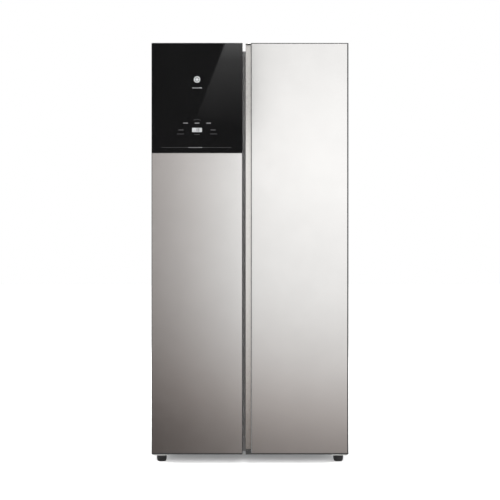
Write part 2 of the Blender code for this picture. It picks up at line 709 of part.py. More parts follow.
def ice_maker():
    """A frame on the freezer's side walls. It holds the twist tray, and the bin that the ice falls into."""
    x, z = ICE_AXIS
    sides = (FREEZER.left + 0.002, FREEZER.right - 0.002)
    y = (-0.110, 0.130)
    bottom, top = 1.345, 1.625
    wall = 0.003
    frame = body("ice_maker_frame", box(sides, y, (bottom, top)), "white_liner")
    cut(
        frame,
        box((sides[0] + wall, sides[1] - wall), (y[0] + wall, y[1] - wall), (bottom + wall, top + 0.01)),
        box((sides[0] + wall, sides[1] - wall), (y[0] - 0.01, y[0] + 0.01), (bottom + wall, z - 0.070)),
    )
    for end in (y[0], y[1]):
        cut(frame, rod("Y", (x, z), 0.0070, (end - 0.01, end + 0.01)))

    across, along = (sides[0] + 0.006, sides[1] - 0.006), (y[0] + 0.001, y[1] - 0.008)
    floor = bottom + wall + FIT
    ice_bin = body("ice_bin", box(across, along, (floor, 1.462)), "clear_plastic")
    across, along = (across[0] + wall, across[1] - wall), (along[0] + wall, along[1] - wall)
    cut(ice_bin, box(across, along, (floor + wall, 1.480)))

    pivot = joint_axis("ice_tray_axis", (x, y[0], z))
    half, depth = 0.068, 0.015
    inside = (y[0] + 0.008, y[1] - 0.008)
    tray = body("ice_tray", box((x - half, x + half), inside, (z - depth, z + depth)), "ice_plastic", pivot)
    pitch = 0.054
    start = inside[0] + 0.006
    wells = [
        box((x + left, x + left + 0.061), (low, low + 0.050), (z - depth + 0.003, z + 0.020))
        for left in (-0.064, 0.003)
        for low in (start, start + pitch, start + 2 * pitch, start + 3 * pitch)
    ]
    cut(tray, together(wells))
    fuse(
        tray,
        rod("Y", (x, z), 0.0060, (y[0] - 0.006, inside[0] + 0.002)),
        rod("Y", (x, z), 0.0060, (inside[1] - 0.002, y[1] + 0.002)),
        rod("Y", (x, z), 0.0170, (y[0] - 0.012, y[0] - 0.004), 20),
        box((x - 0.014, x + 0.014), (y[0] - 0.019, y[0] - 0.010), (z - 0.0035, z + 0.0035)),
    )


# The doors.


def door_dimensions(side):
    """(outer side, free edge) of a door, as x. Side is -1 for the freezer and 1 for the fridge."""
    return (-WIDTH / 2, FREEZER_DOOR_RIGHT) if side < 0 else (WIDTH / 2, FRIDGE_DOOR_LEFT)


def door_core(name, side, axis):
    """Foam, side frame and end caps as one piece, with the pin holes and the recess over the hinge."""
    outer, free = door_dimensions(side)
    block = box(sorted((outer, free)), (CORE_FRONT, DOOR_BACK), (DOOR_BOTTOM, HEIGHT))
    core = body(name, block, "door_frame", axis)
    recess = sorted((outer + side * 0.01, outer - side * 0.087))
    pin = (side * AXIS_X, AXIS_Y)
    cut(
        core,
        box(recess, (FRONT + 0.0060, DOOR_BACK + 0.01), (CASE_TOP - 0.007, HEIGHT + 0.01)),
        rod("Z", pin, PIN_HOLE, (CASE_TOP - 0.040, CASE_TOP)),
        rod("Z", pin, PIN_HOLE, (DOOR_BOTTOM - 0.01, DOOR_BOTTOM + 0.026)),
    )
    return core


def front_panel(name, x, z, thickness, finish, axis):
    shape = box(x, (FRONT, FRONT + thickness), z)
    front_edges = lambda edge: max(v.co.y for v in edge.verts) < FRONT + 0.0001
    body(name, rounded(shape, 0.0008, 1, where=front_edges), finish, axis)


def gasket(name, left, right, axis):
    """A magnetic seal, one closed ring."""
    low, high = INNER_BOTTOM - 0.0235, INNER_TOP + 0.0355
    y = (DOOR_BACK + FIT, CASE_FRONT - FIT)
    seal = body(name, box((left, right), y, (low, high)), "seal", axis)
    w = GASKET_WIDTH
    cut(seal, box((left + w, right - w), (y[0] - 0.01, y[1] + 0.01), (low + w, high - w)))


def door_liner(name, plate, dikes, axis):
    """The door's inner skin, with a raised dike round the part that carries the bins."""
    back = DOOR_BACK + 0.003
    sheet = box(plate, (DOOR_BACK + FIT, back), (INNER_BOTTOM - 0.005, INNER_TOP + 0.017))
    skin = body(name, sheet, "white_liner", axis)
    (left_low, left_high), (right_low, right_high) = dikes
    ring = box((left_low, right_high), (DOOR_BACK + 0.001, DIKE_FACE), (DIKE_BOTTOM, DIKE_TOP))
    fuse(skin, ring)
    cut(skin, box((left_high, right_low), (back, DIKE_FACE + 0.01), (DIKE_BOTTOM + 0.012, DIKE_TOP - 0.012)))


def door_bin(name, x, floor, axis):
    """An open bottle bin with rounded front corners."""
    y = (DOOR_BACK + 0.0037, BIN_FRONT)
    front_corner = lambda edge: upright(edge) and edge.verts[0].co.y > y[1] - 0.001
    shape = rounded(box(x, y, (floor, floor + BIN_HEIGHT)), 0.018, 3, where=front_corner)
    tub = body(name, shape, "clear_plastic", axis)
    w = BIN_WALL
    inner_corner = lambda edge: upright(edge) and edge.verts[0].co.y > y[1] - w - 0.001
    inside = box((x[0] + w, x[1] - w), (y[0] + w, y[1] - w), (floor + w, floor + BIN_HEIGHT + 0.01))
    cut(tub, rounded(inside, 0.0155, 3, where=inner_corner))
    return tub


def dairy_cover(tub, x, axis):
    """End cheeks on the top bin, and the hinged lid between them."""
    pivot_y, pivot_z = DOOR_BACK + 0.016, 1.590
    front_y, front_z = BIN_FRONT - 0.004, BIN_FLOORS[0] + BIN_HEIGHT
    back = DOOR_BACK + 0.0037
    cheek = [
        (back, front_z - 0.010),
        (front_y - 0.020, front_z - 0.010),
        (front_y - 0.020, front_z + 0.002),
        (pivot_y + 0.010, pivot_z + 0.010),
        (back, pivot_z + 0.010),
    ]
    for low in (x[0], x[1] - BIN_WALL):
        fuse(tub, prism(cheek, "X", (low, low + BIN_WALL)))
        cut(tub, rod("X", (pivot_y, pivot_z), 0.0040, (low - 0.01, low + 0.01), 12))
    hinge = joint_axis("dairy_lid_axis", (x[0], pivot_y, pivot_z), axis)
    clear = 0.004
    lid_outline = [
        (pivot_y - 0.003, pivot_z - 0.001),
        (front_y - 0.004, front_z + 0.009),
        (front_y, front_z + 0.009),
        (front_y, front_z + 0.012),
        (pivot_y, pivot_z + 0.003),
        (pivot_y - 0.003, pivot_z + 0.003),
    ]
    lid = body("dairy_lid", prism(lid_outline, "X", (x[0] + clear, x[1] - clear)), "clear_plastic", hinge)
    fuse(lid, rod("X", (pivot_y, pivot_z), 0.0030, (x[0] + 0.0005, x[1] - 0.0005), 12))


def freezer_door():
    axis = joint_axis("freezer_door_axis", (-AXIS_X, AXIS_Y, DOOR_BOTTOM))
    outer, free = door_dimensions(-1)
    core = door_core("freezer_door_core", -1, axis)
    glass_back = FRONT + GLASS_THICKNESS + FIT
    cut(
        core,
        box((outer - 0.01, free + 0.01), (FRONT - 0.01, glass_back), (GLASS_BOTTOM - 0.001, HEIGHT + 0.01)),
        box(
            (free - 0.015, free + 0.01),
            (FRONT + 0.0045, FRONT + 0.0280),
            (DOOR_BOTTOM + 0.020, HEIGHT - 0.030),
        ),
    )
    across = (outer + FRAME_LINE, free - FRAME_LINE)
    steel, glass = (DOOR_BOTTOM + FRAME_LINE, GLASS_BOTTOM - 0.0015), (GLASS_BOTTOM, HEIGHT)
    front_panel("freezer_door_panel", across, steel, SHEET, "door_steel", axis)
    front_panel("freezer_door_glass", (outer, free), glass, GLASS_THICKNESS, "black_glass", axis)
    gasket("freezer_door_gasket", -AXIS_X + 0.005, free - 0.002, axis)
    door_liner("freezer_door_liner", (-0.3800, -0.0520), ((-0.3530, -0.3420), (-0.0945, -0.0695)), axis)
    for number, floor in enumerate(BIN_FLOORS, 1):
        door_bin(f"freezer_door_bin_{number}", (-0.3405, -0.0965), floor, axis)


def fridge_door():
    axis = joint_axis("fridge_door_axis", (AXIS_X, AXIS_Y, DOOR_BOTTOM))
    outer, free = door_dimensions(1)
    core = door_core("fridge_door_core", 1, axis)
    lip = FRONT + 0.0045
    floor = FRONT + GRIP_DEPTH
    wall = 0.002
    ends = (DOOR_BOTTOM + GRIP_BOTTOM, HEIGHT - GRIP_END)
    opening, deep = free + GRIP_OPENING, free + GRIP_WIDTH
    cut(
        core,
        box((free - 0.01, opening), (FRONT - 0.01, floor), ends),
        box((free - 0.01, deep), (lip, floor + wall + FIT), (ends[0] - 0.0002, ends[1] + 0.0001)),
        box((free - 0.01, free + wall + FIT), (lip, DOOR_BACK - 0.004), (ends[0] - 0.0004, ends[1] + 0.0003)),
    )
    grip = [
        (free, floor),
        (deep - wall - FIT, floor),
        (deep - wall - FIT, lip + FIT),
        (deep - FIT, lip + FIT),
        (deep - FIT, floor + wall),
        (free + wall, floor + wall),
        (free + wall, DOOR_BACK - 0.005),
        (free, DOOR_BACK - 0.005),
    ]
    body("grip_trim", prism(grip, "Z", (ends[0] + FIT, ends[1] - FIT)), "grip_metal", axis)
    front_panel(
        "fridge_door_panel",
        (opening, outer - FRAME_LINE),
        (DOOR_BOTTOM + FRAME_LINE, HEIGHT - FRAME_LINE),
        SHEET,
        "door_steel",
        axis,
    )
    gasket("fridge_door_gasket", free + 0.002, AXIS_X - 0.005, axis)
    door_liner("fridge_door_liner", (0.0025, 0.3800), ((0.0185, 0.0415), (0.3465, 0.3580)), axis)
    across = (0.0435, 0.3450)
    for number, floor_z in enumerate(BIN_FLOORS, 1):
        tub = door_bin(f"fridge_door_bin_{number}", across, floor_z, axis)
        if number == 1:
            dairy_cover(tub, across, axis)


def build():
    for obj in list(bpy.data.objects):
        bpy.data.objects.remove(obj)
    outer_case()
    insulation()
    liner(FREEZER, (-CASE_HALF + FLANGE + FIT, FREEZER.right + 0.010 - FIT))
    liner(FRIDGE, (FRIDGE.left - 0.010 + FIT, CASE_HALF - FLANGE - FIT))
    mullion_strip()
    base_frame()
    standing_gear()
    hinges()
    machine_room()
    freezer_cooling()
    fridge_air()
    shelves()
    drawers()
    ice_maker()
    freezer_door()
    fridge_door()


build()
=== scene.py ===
"""Looks of the side-by-side refrigerator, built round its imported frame.

Metres, +Z up, doors towards -Y. Places are worked out from the frame's nodes.
The frame's meshes are plain facets: most nodes get a fine copy with rounded edges, the others a new shape.
"""

import json
import math

import bmesh
import bpy
from mathutils import Matrix, Vector

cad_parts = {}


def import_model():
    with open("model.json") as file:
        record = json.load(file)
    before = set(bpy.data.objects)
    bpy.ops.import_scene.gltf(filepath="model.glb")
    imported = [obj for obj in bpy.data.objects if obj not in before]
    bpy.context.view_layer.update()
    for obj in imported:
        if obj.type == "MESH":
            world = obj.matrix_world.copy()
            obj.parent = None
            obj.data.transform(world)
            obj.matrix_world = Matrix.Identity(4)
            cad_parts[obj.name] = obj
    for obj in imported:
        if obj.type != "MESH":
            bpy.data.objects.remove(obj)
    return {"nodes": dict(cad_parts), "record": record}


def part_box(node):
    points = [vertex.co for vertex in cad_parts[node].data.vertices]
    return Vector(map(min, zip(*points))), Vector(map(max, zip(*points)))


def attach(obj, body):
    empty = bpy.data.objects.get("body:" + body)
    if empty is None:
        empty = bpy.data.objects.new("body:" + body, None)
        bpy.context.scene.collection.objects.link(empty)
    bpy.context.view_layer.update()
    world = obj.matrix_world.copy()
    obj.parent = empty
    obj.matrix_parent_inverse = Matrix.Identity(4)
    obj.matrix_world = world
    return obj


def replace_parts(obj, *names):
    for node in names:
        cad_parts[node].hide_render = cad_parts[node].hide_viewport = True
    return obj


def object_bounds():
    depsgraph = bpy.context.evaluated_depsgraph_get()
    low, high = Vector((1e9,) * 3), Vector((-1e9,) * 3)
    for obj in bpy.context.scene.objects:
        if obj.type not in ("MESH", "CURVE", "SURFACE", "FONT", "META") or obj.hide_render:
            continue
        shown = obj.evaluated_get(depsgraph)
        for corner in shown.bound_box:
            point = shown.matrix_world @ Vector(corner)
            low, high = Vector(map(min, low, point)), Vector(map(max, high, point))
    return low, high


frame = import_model()
CAD_LOW, CAD_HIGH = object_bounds()
BODIES = frame["record"]["behaviour"]["bodies"]
BODY_OF = {node: body for body, nodes in BODIES.items() for node in nodes}
SLOT_OF = {part["node"]: part["material_slot"] for part in frame["record"]["subparts"]}

# Camera and studio.
CAMERA_DISTANCE = 6.0  # from the doors' front
CAMERA_HEIGHT = 0.907
VIEW_WIDTH = 2.1195  # what the picture shows at the doors' front
SENSOR = 36.0
CARD_DISTANCE = 0.9  # from the doors' front to the reflected card
STEEL = (0.61, 0.606, 0.598)

# Fine shapes.
WELD = 0.00001  # points closer than this are one point
FLAT = math.radians(1.0)  # faces that meet at less than this are one face
SHARP = math.radians(28.0)  # edges sharper than this are rounded
CREASE = math.radians(35.0)  # edges sharper than this aren't shaded smooth
SLIVER = 0.000002  # edges shorter than this are taken away
PRINT = 0.0002  # how far the signs stand out from the glass
LAYER = 0.00005  # between the faces of the lit display and of its digits
LAMP_GAP = 0.0004  # between a lamp and the ceiling

FINISH_FOR = {  # every other piece takes the finish of its slot's name
    # painted shade: the divider strip gets a darker grey that also stands for the shade in the gap between
    # the doors
    "mullion_strip": "divider",
    "bottom_hinge_left": "hinge_zinc",
    "bottom_hinge_right": "hinge_zinc",
}
UNROUNDED = {"freezer_liner", "fridge_liner", "insulation_foam"}  # their corners are round already
ROUNDING = {  # how far the edges of each finish are rounded
    "door_steel": 0.0003,
    "grip_metal": 0.0004,
    "door_frame": 0.0008,
    "case_paint": 0.0005,
    "cover_plastic": 0.0010,
    "galvanised": 0.0003,
    "foam": 0.0020,
    "white_liner": 0.0010,
    "clear_plastic": 0.0008,
    "black_plastic": 0.0005,
    "aluminium": 0.0003,
    "ice_plastic": 0.0008,
}


# Shapes. Each is a closed bmesh in the appliance's own coordinates.


def block(x, y, z):
    """A block from three (low, high) pairs."""
    size = Vector((x[1] - x[0], y[1] - y[0], z[1] - z[0]))
    centre = Vector((x[0] + x[1], y[0] + y[1], z[0] + z[1])) / 2
    bm = bmesh.new()
    bmesh.ops.create_cube(bm, size=1.0, matrix=Matrix.Translation(centre) @ Matrix.Diagonal((*size, 1.0)))
    return bm


def point(across, level, axis):
    """A point from its two coordinates across an axis and its level along it."""
    index = "XYZ".index(axis)
    return Vector((*across[:index], level, *across[index:]))


def on_circle(middle, radius, angle):
    """The point of a flat circle at an angle."""
    return (middle[0] + radius * math.cos(angle), middle[1] + radius * math.sin(angle))


def about(centre, half):
    """The (low, high) pair that reaches as far each way from a centre."""
    return (centre - half, centre + half)


def evenly(low, high, count):
    """Evenly spaced places from low to high."""
    return [low + (high - low) * i / (count - 1) for i in range(count)]


def rectangle(a, b):
    """The corners of a rectangle of two (low, high) pairs."""
    return [(a[0], b[0]), (a[1], b[0]), (a[1], b[1]), (a[0], b[1])]


def skinned(bm, loops, closed=False):
    """Faces between neighbouring loops of points, facing outwards."""
    for low, high in zip(loops, loops[1:] + loops[:1] if closed else loops[1:]):
        for i in range(len(low)):
            j = (i + 1) % len(low)
            corners = list(dict.fromkeys((low[i], low[j], high[j], high[i])))
            if len(corners) > 2:
                bm.faces.new(corners)
    bmesh.ops.recalc_face_normals(bm, faces=bm.faces)
    return bm


def prism(outline, axis, span):
    """An outline extruded along an axis. The outline is (y, z) for X, (x, z) for Y and (x, y) for Z."""
    bm = bmesh.new()
    low, high = ([bm.verts.new(point(across, level, axis)) for across in outline] for level in span)
    bm.faces.new(low)
    bm.faces.new(high)
    return skinned(bm, [low, high])


def lathe(profile, centre, axis="Z", segments=48, ring=False, wave=None):
    """A (radius, along) profile turned about an axis through a centre. A ring's profile is a closed loop.

    The wave is a function of the angle and the profile's index that scales the radius.
    """
    bm = bmesh.new()
    loops = []
    for number, (radius, along) in enumerate(profile):
        loop = []
        for i in range(1 if radius == 0 else segments):
            angle = math.tau * i / segments
            reach = radius * (wave(angle, number) if wave else 1.0)
            place = point(on_circle((0.0, 0.0), reach, angle), along, axis)
            loop.append(bm.verts.new(Vector(centre) + place))
        loops.append(loop if radius else loop * segments)
    return skinned(bm, loops, ring)


def rounded_outline(a, b, radius, steps=4):
    """A rectangle of two (low, high) pairs with round corners, as a list of points."""
    corners = ((a[1], b[1], 0), (a[0], b[1], 1), (a[0], b[0], 2), (a[1], b[0], 3))
    points = []
    for x, y, quarter in corners:
        middle = (x - math.copysign(radius, x - sum(a) / 2), y - math.copysign(radius, y - sum(b) / 2))
        for i in range(steps + 1):
            points.append(on_circle(middle, radius, math.pi / 2 * (quarter + i / steps)))
    return points


def tile(a, b, radius, axis, span):
    """A flat piece with round corners: a rectangle of two (low, high) pairs, extruded along an axis."""
    return prism(rounded_outline(a, b, radius), axis, span)


def together(shapes):
    """Several shapes in one bmesh."""
    whole = shapes[0]
    for shape in shapes[1:]:
        part = bpy.data.meshes.new("part")
        shape.to_mesh(part)
        whole.from_mesh(part)
        bpy.data.meshes.remove(part)
        shape.free()
    return whole


def rounded(bm, width, segments=2, where=lambda edge: True):
    """The same shape with its sharp edges rounded."""
    edges = [edge for edge in bm.edges if edge.is_manifold and edge.calc_face_angle() > SHARP and where(edge)]
    bmesh.ops.bevel(
        bm, geom=edges, offset=width, segments=segments, profile=0.5, affect="EDGES", clamp_overlap=True
    )
    bmesh.ops.dissolve_degenerate(bm, edges=bm.edges, dist=SLIVER)
    return bm


def turned(bm, angle, centre, axis="Y"):
    """The same shape turned about an axis through a centre."""
    centre = Vector(centre)
    matrix = Matrix.Translation(centre) @ Matrix.Rotation(angle, 4, axis) @ Matrix.Translation(-centre)
    bmesh.ops.transform(bm, matrix=matrix, verts=bm.verts)
    return bm


def welded(node, whole_faces=True):
    """A node's facets joined into one connected shape, with whole flat faces where they are wanted."""
    bm = bmesh.new()
    bm.from_mesh(frame["nodes"][node].data)
    bmesh.ops.remove_doubles(bm, verts=bm.verts, dist=WELD)
    if whole_faces:
        bmesh.ops.dissolve_limit(bm, angle_limit=FLAT, verts=bm.verts, edges=bm.edges)
    return bm


def on_the_outside(node):
    """Tells whether an edge runs along the outside of the node's box, where two of its sides meet."""
    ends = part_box(node)

    def test(edge):
        touching = [
            all(abs(v.co[axis] - end[axis]) < WELD for v in edge.verts) for axis in range(3) for end in ends
        ]
        return sum(touching) >= 2

    return test


# Pieces.


def new_object(name, data):
    """An object in the scene, at the origin."""
    obj = bpy.data.objects.new(name, data)
    bpy.context.scene.collection.objects.link(obj)
    return obj


def piece(name, bm, finish_name, body):
    """A finished piece of the appliance, smooth except at its sharp edges, riding on a body."""
    mesh = bpy.data.meshes.new(name)
    bm.to_mesh(mesh)
    bm.free()
    for attribute in [a for a in mesh.attributes if a.name == "custom_normal"]:
        mesh.attributes.remove(attribute)
    mesh.materials.append(finish(finish_name))
    mesh.shade_smooth()
    mesh.set_sharp_from_angle(angle=CREASE)
    obj = new_object(name, mesh)
    weighted = obj.modifiers.new("even_shading", "WEIGHTED_NORMAL")
    weighted.keep_sharp = True
    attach(obj, body)
    return obj


def fitting(name, bm, finish_name, body="cabinet"):
    """A piece that no node stands for, with the finish of that name."""
    return piece(name, bm, finish_name, body)


def instead_of(node, bm, finish_name=None):
    """A new shape that stands for a node."""
    slot = SLOT_OF[node]
    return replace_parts(piece(node + "_fine", bm, finish_name or slot, BODY_OF[node]), node)


def fine_copy(node):
    """A copy of a node with rounded edges, which stands for the node."""
    slot = SLOT_OF[node]
    plain = node in UNROUNDED or slot not in ROUNDING
    shape = welded(node, whole_faces=not plain)
    if slot == "door_frame":
        rounded(shape, ROUNDING[slot], where=on_the_outside(node))
    elif not plain:
        rounded(shape, ROUNDING[slot])
    return instead_of(node, shape, FINISH_FOR.get(node))


# Materials. Colour, gloss and relief all vary with noise in the appliance's own space.


def add_node(tree, kind, inputs=None, **settings):
    """A new shader node, with its inputs set to values or linked to other nodes' outputs."""
    node = tree.nodes.new("ShaderNode" + kind)
    for key, value in settings.items():
        setattr(node, key, value)
    for key, value in (inputs or {}).items():
        if isinstance(value, bpy.types.NodeSocket):
            tree.links.new(value, node.inputs[key])
        elif value is not None:
            node.inputs[key].default_value = value
    return node


def grey(value, warmth=0.0):
    return (value, value * (1 - 0.7 * warmth), value * (1 - warmth))


def shaded(colour, share):
    """A colour made lighter or darker, up to white."""
    return tuple(min(1.0, share * channel) for channel in colour)


class Surface:
    """A Principled material that is built up one effect at a time."""

    def __init__(self, name, colour, roughness, metallic=0.0, **sockets):
        self.material = bpy.data.materials.new("finish_" + name)
        self.material.use_nodes = True
        self.tree = self.material.node_tree
        self.shader = self.tree.nodes["Principled BSDF"]
        self.colour = (*colour, 1.0)
        self.roughness = roughness
        self.normal = None
        own = {"Base_Color": self.colour, "Roughness": roughness, "Metallic": metallic}
        for socket, value in {**own, **sockets}.items():
            self.shader.inputs[socket.replace("_", " ")].default_value = value
        self.place = self.add("TexCoord").outputs["Object"]

    def add(self, kind, inputs=None, **settings):
        return add_node(self.tree, kind, inputs, **settings)

    def drive(self, socket, source):
        self.tree.links.new(source, self.shader.inputs[socket])
        return self

    def noise(self, scale, detail=3.0, stretch=(1.0, 1.0, 1.0)):
        """Soft noise. A stretch under 1 along an axis draws it out that way."""
        place = self.add("Mapping", {"Vector": self.place, "Scale": stretch}).outputs["Vector"]
        return self.add("TexNoise", {"Vector": place, "Scale": scale, "Detail": detail}).outputs["Fac"]

    def cells(self, scale, output="Distance"):
        """Voronoi cells, as the distance to a cell's middle or a colour for each cell."""
        return self.add("TexVoronoi", {"Vector": self.place, "Scale": scale}).outputs[output]

    def band(self, source, low, high, start=0.0, end=1.0):
        """The source's range from low to high, stretched to run from start to end."""
        return self.add("MapRange", {0: source, 1: low, 2: high, 3: start, 4: end}).outputs["Result"]

    def tint(self, mask, colour):
        """Mixes another colour in where the mask is 1."""
        mix = self.add("Mix", {0: mask, 6: self.colour, 7: (*colour, 1.0)}, data_type="RGBA")
        self.colour = mix.outputs[2]
        return self.drive("Base Color", self.colour)

    def gloss(self, source, spread, low=0.3, high=0.7):
        """Roughness that swings by the spread either way with the source."""
        return self.drive("Roughness", self.band(source, low, high, *about(self.roughness, spread)))

    def relief(self, height, depth):
        """Relief of that depth, in metres, on top of the relief so far."""
        node = self.add("Bump", {"Height": height, "Distance": depth, "Normal": self.normal})
        self.normal = node.outputs["Normal"]
        return self.drive("Normal", self.normal)

    def mottle(self, scale, detail, low, high, colour):
        """Soft patches of another colour, from where noise is low to where it is high."""
        return self.tint(self.band(self.noise(scale, detail), low, high), colour)

    def clouds(self, scale, detail, spread):
        """Roughness that swings by the spread either way in soft patches."""
        return self.gloss(self.noise(scale, detail), spread)

    def grain(self, scale, detail, depth):
        """Relief of that depth, in metres, from noise."""
        return self.relief(self.noise(scale, detail), depth)

    def worn_edges(self, radius, colour, amount=0.6):
        """A lighter or darker line along worn edges, broken up by noise."""
        soft = self.add("Bevel", {"Radius": radius}, samples=4).outputs["Normal"]
        true = self.add("NewGeometry").outputs["Normal"]
        even = self.add("VectorMath", {0: soft, 1: true}, operation="DOT_PRODUCT").outputs["Value"]
        edge = self.band(even, 0.995, 0.90)
        broken = self.band(self.noise(60.0), 0.40, 0.65, 0.15, amount)
        return self.tint(self.add("Math", {0: edge, 1: broken}, operation="MULTIPLY").outputs[0], colour)


def door_steel(name):
    """Satin stainless steel: fine grain, faint mottling and a trace of fingerprints."""
    made = Surface(name, STEEL, 0.26, metallic=1.0)
    made.mottle(9.0, 2.0, 0.30, 0.70, shaded(STEEL, 0.975))
    made.tint(made.band(made.noise(420.0), 0.35, 0.75, 0.0, 0.12), shaded(STEEL, 0.88))
    made.clouds(26.0, 2.0, 0.012)
    made.relief(made.noise(1300.0, 2.0, (0.35, 1.0, 1.0)), 0.000001)
    return made.grain(140.0, 1.0, 0.000003).material


def drawn_metal(name, colour, darker, roughness, draw, swing, depth):
    """Brushed metal, drawn along one axis."""
    made = Surface(name, colour, roughness, metallic=1.0)
    drawn = made.noise(*draw)
    made.tint(made.band(drawn, 0.30, 0.70), darker)
    return made.gloss(drawn, swing).relief(drawn, depth)


def grip_metal(name):
    """Brushed aluminium, drawn along its length."""
    draw = (1500.0, 2.0, (1.0, 1.0, 0.012))
    made = drawn_metal(name, (0.62, 0.61, 0.59), (0.56, 0.55, 0.53), 0.27, draw, 0.04, 0.000008)
    return made.worn_edges(0.0006, (0.70, 0.69, 0.68)).material


def aluminium(name):
    draw = (900.0, 2.0, (0.03, 1.0, 1.0))
    made = drawn_metal(name, (0.72, 0.73, 0.74), (0.60, 0.61, 0.62), 0.33, draw, 0.06, 0.00001)
    return made.material


def black_glass(name):
    """Black-backed glass with a faint float wave and a little dust."""
    made = Surface(name, (0.0044, 0.0044, 0.0045), 0.045, Specular_IOR_Level=0.25)
    made.mottle(7.0, 6.0, 0.45, 0.80, (0.0052, 0.0051, 0.0053))
    return made.clouds(40.0, 6.0, 0.015).grain(3.0, 0.0, 0.00002).material


def moulded(name, colour, roughness, worn=None, **sockets):
    """Moulded plastic: fine texture, soft mottling, worn edges."""
    made = Surface(name, colour, roughness, **sockets)
    made.mottle(14.0, 3.0, 0.35, 0.75, shaded(colour, 0.90))
    made.clouds(55.0, 3.0, 0.04).grain(1500.0, 2.0, 0.00002)
    if worn:
        made.worn_edges(0.0008, worn)
    return made.material


def dull_moulded(name, colour, roughness, worn=None):
    return moulded(name, colour, roughness, worn, Specular_IOR_Level=0.2)


def painted(name, colour, roughness, peel=0.00001, metallic=0.0):
    """Stoved paint on steel: orange peel, slight clouding, rubbed edges."""
    made = Surface(name, colour, roughness, metallic=metallic)
    made.mottle(5.0, 2.0, 0.30, 0.75, shaded(colour, 0.96))
    made.clouds(30.0, 2.0, 0.03).grain(400.0, 0.0, peel)
    return made.worn_edges(0.0010, shaded(colour, 1.35)).material


def galvanised(name):
    """Zinc-coated steel sheet with its spangle and a few dull stains."""
    made = Surface(name, (0.52, 0.53, 0.54), 0.42, metallic=0.9)
    spangle = made.add("SeparateColor", {0: made.cells(110.0, "Color")}).outputs[0]
    made.tint(made.band(spangle, 0.0, 1.0, 0.0, 0.55), (0.43, 0.44, 0.46))
    made.tint(made.band(made.noise(14.0), 0.50, 0.85, 0.0, 0.35), (0.42, 0.42, 0.41))
    return made.gloss(spangle, 0.07, 0.0, 1.0).grain(300.0, 3.0, 0.00001).material


def foam(name):
    made = Surface(name, (0.80, 0.73, 0.48), 0.90).mottle(20.0, 8.0, 0.35, 0.70, (0.66, 0.56, 0.32))
    return made.relief(made.cells(450.0), 0.0006).grain(40.0, 3.0, 0.0010).material


def white_liner(name):
    """Vacuum-formed white plastic, glossy over faint orange peel."""
    made = Surface(name, (0.84, 0.85, 0.86), 0.32).mottle(4.0, 2.0, 0.35, 0.75, (0.81, 0.82, 0.83))
    return made.clouds(35.0, 2.0, 0.03).grain(160.0, 0.0, 0.000008).material


def seal(name):
    made = Surface(name, (0.30, 0.30, 0.31), 0.68).mottle(22.0, 6.0, 0.45, 0.80, grey(0.38))
    return made.grain(900.0, 3.0, 0.00003).material


def clear_plastic(name):
    """Clear polystyrene with flow lines, slightly blue, with scuffs that take its gloss."""
    clear = {"Transmission_Weight": 0.88, "IOR": 1.50, "Specular_IOR_Level": 0.5}
    made = Surface(name, (0.90, 0.94, 0.96), 0.10, **clear)
    made.tint(made.band(made.noise(6.0, 4.0, (1.0, 1.0, 0.3)), 0.40, 0.80), (0.84, 0.90, 0.94))
    return made.clouds(45.0, 7.0, 0.06).relief(made.noise(60.0, 3.0, (1.0, 1.0, 0.2)), 0.00005).material


def shelf_glass(name):
    """Toughened glass with its green cast."""
    made = Surface(name, (0.80, 0.92, 0.88), 0.04, Transmission_Weight=0.94, IOR=1.50)
    made.mottle(3.0, 3.0, 0.40, 0.70, (0.75, 0.90, 0.85))
    return made.clouds(50.0, 7.0, 0.03).grain(12.0, 3.0, 0.00002).material


def copper(name):
    """Copper tube, tarnished in patches."""
    made = Surface(name, (0.70, 0.34, 0.20), 0.30, metallic=1.0)
    made.mottle(45.0, 6.0, 0.42, 0.72, (0.36, 0.17, 0.10))
    return made.clouds(70.0, 5.0, 0.10).grain(500.0, 3.0, 0.00002).material


def ice_plastic(name):
    """Translucent blue plastic."""
    made = Surface(name, (0.50, 0.70, 0.88), 0.30, Subsurface_Weight=0.3, Subsurface_Scale=0.01)
    made.mottle(30.0, 4.0, 0.40, 0.75, (0.62, 0.78, 0.92))
    return made.clouds(60.0, 3.0, 0.06).grain(400.0, 3.0, 0.00003).material


def glowing(name, colour, strength, speck):
    """A surface that glows a little unevenly, as light through frosted plastic does. On the printed signs
    this faint glow is painted light.
    """
    made = Surface(name, colour, 0.4, Emission_Strength=strength)
    uneven = made.band(made.noise(speck), 0.35, 0.70)
    ends = {6: (*colour, 1.0), 7: (*shaded(colour, 0.82), 1.0)}
    made.drive("Emission Color", made.add("Mix", {0: uneven, **ends}, data_type="RGBA").outputs[2])
    return made.grain(700.0, 3.0, 0.00002).material


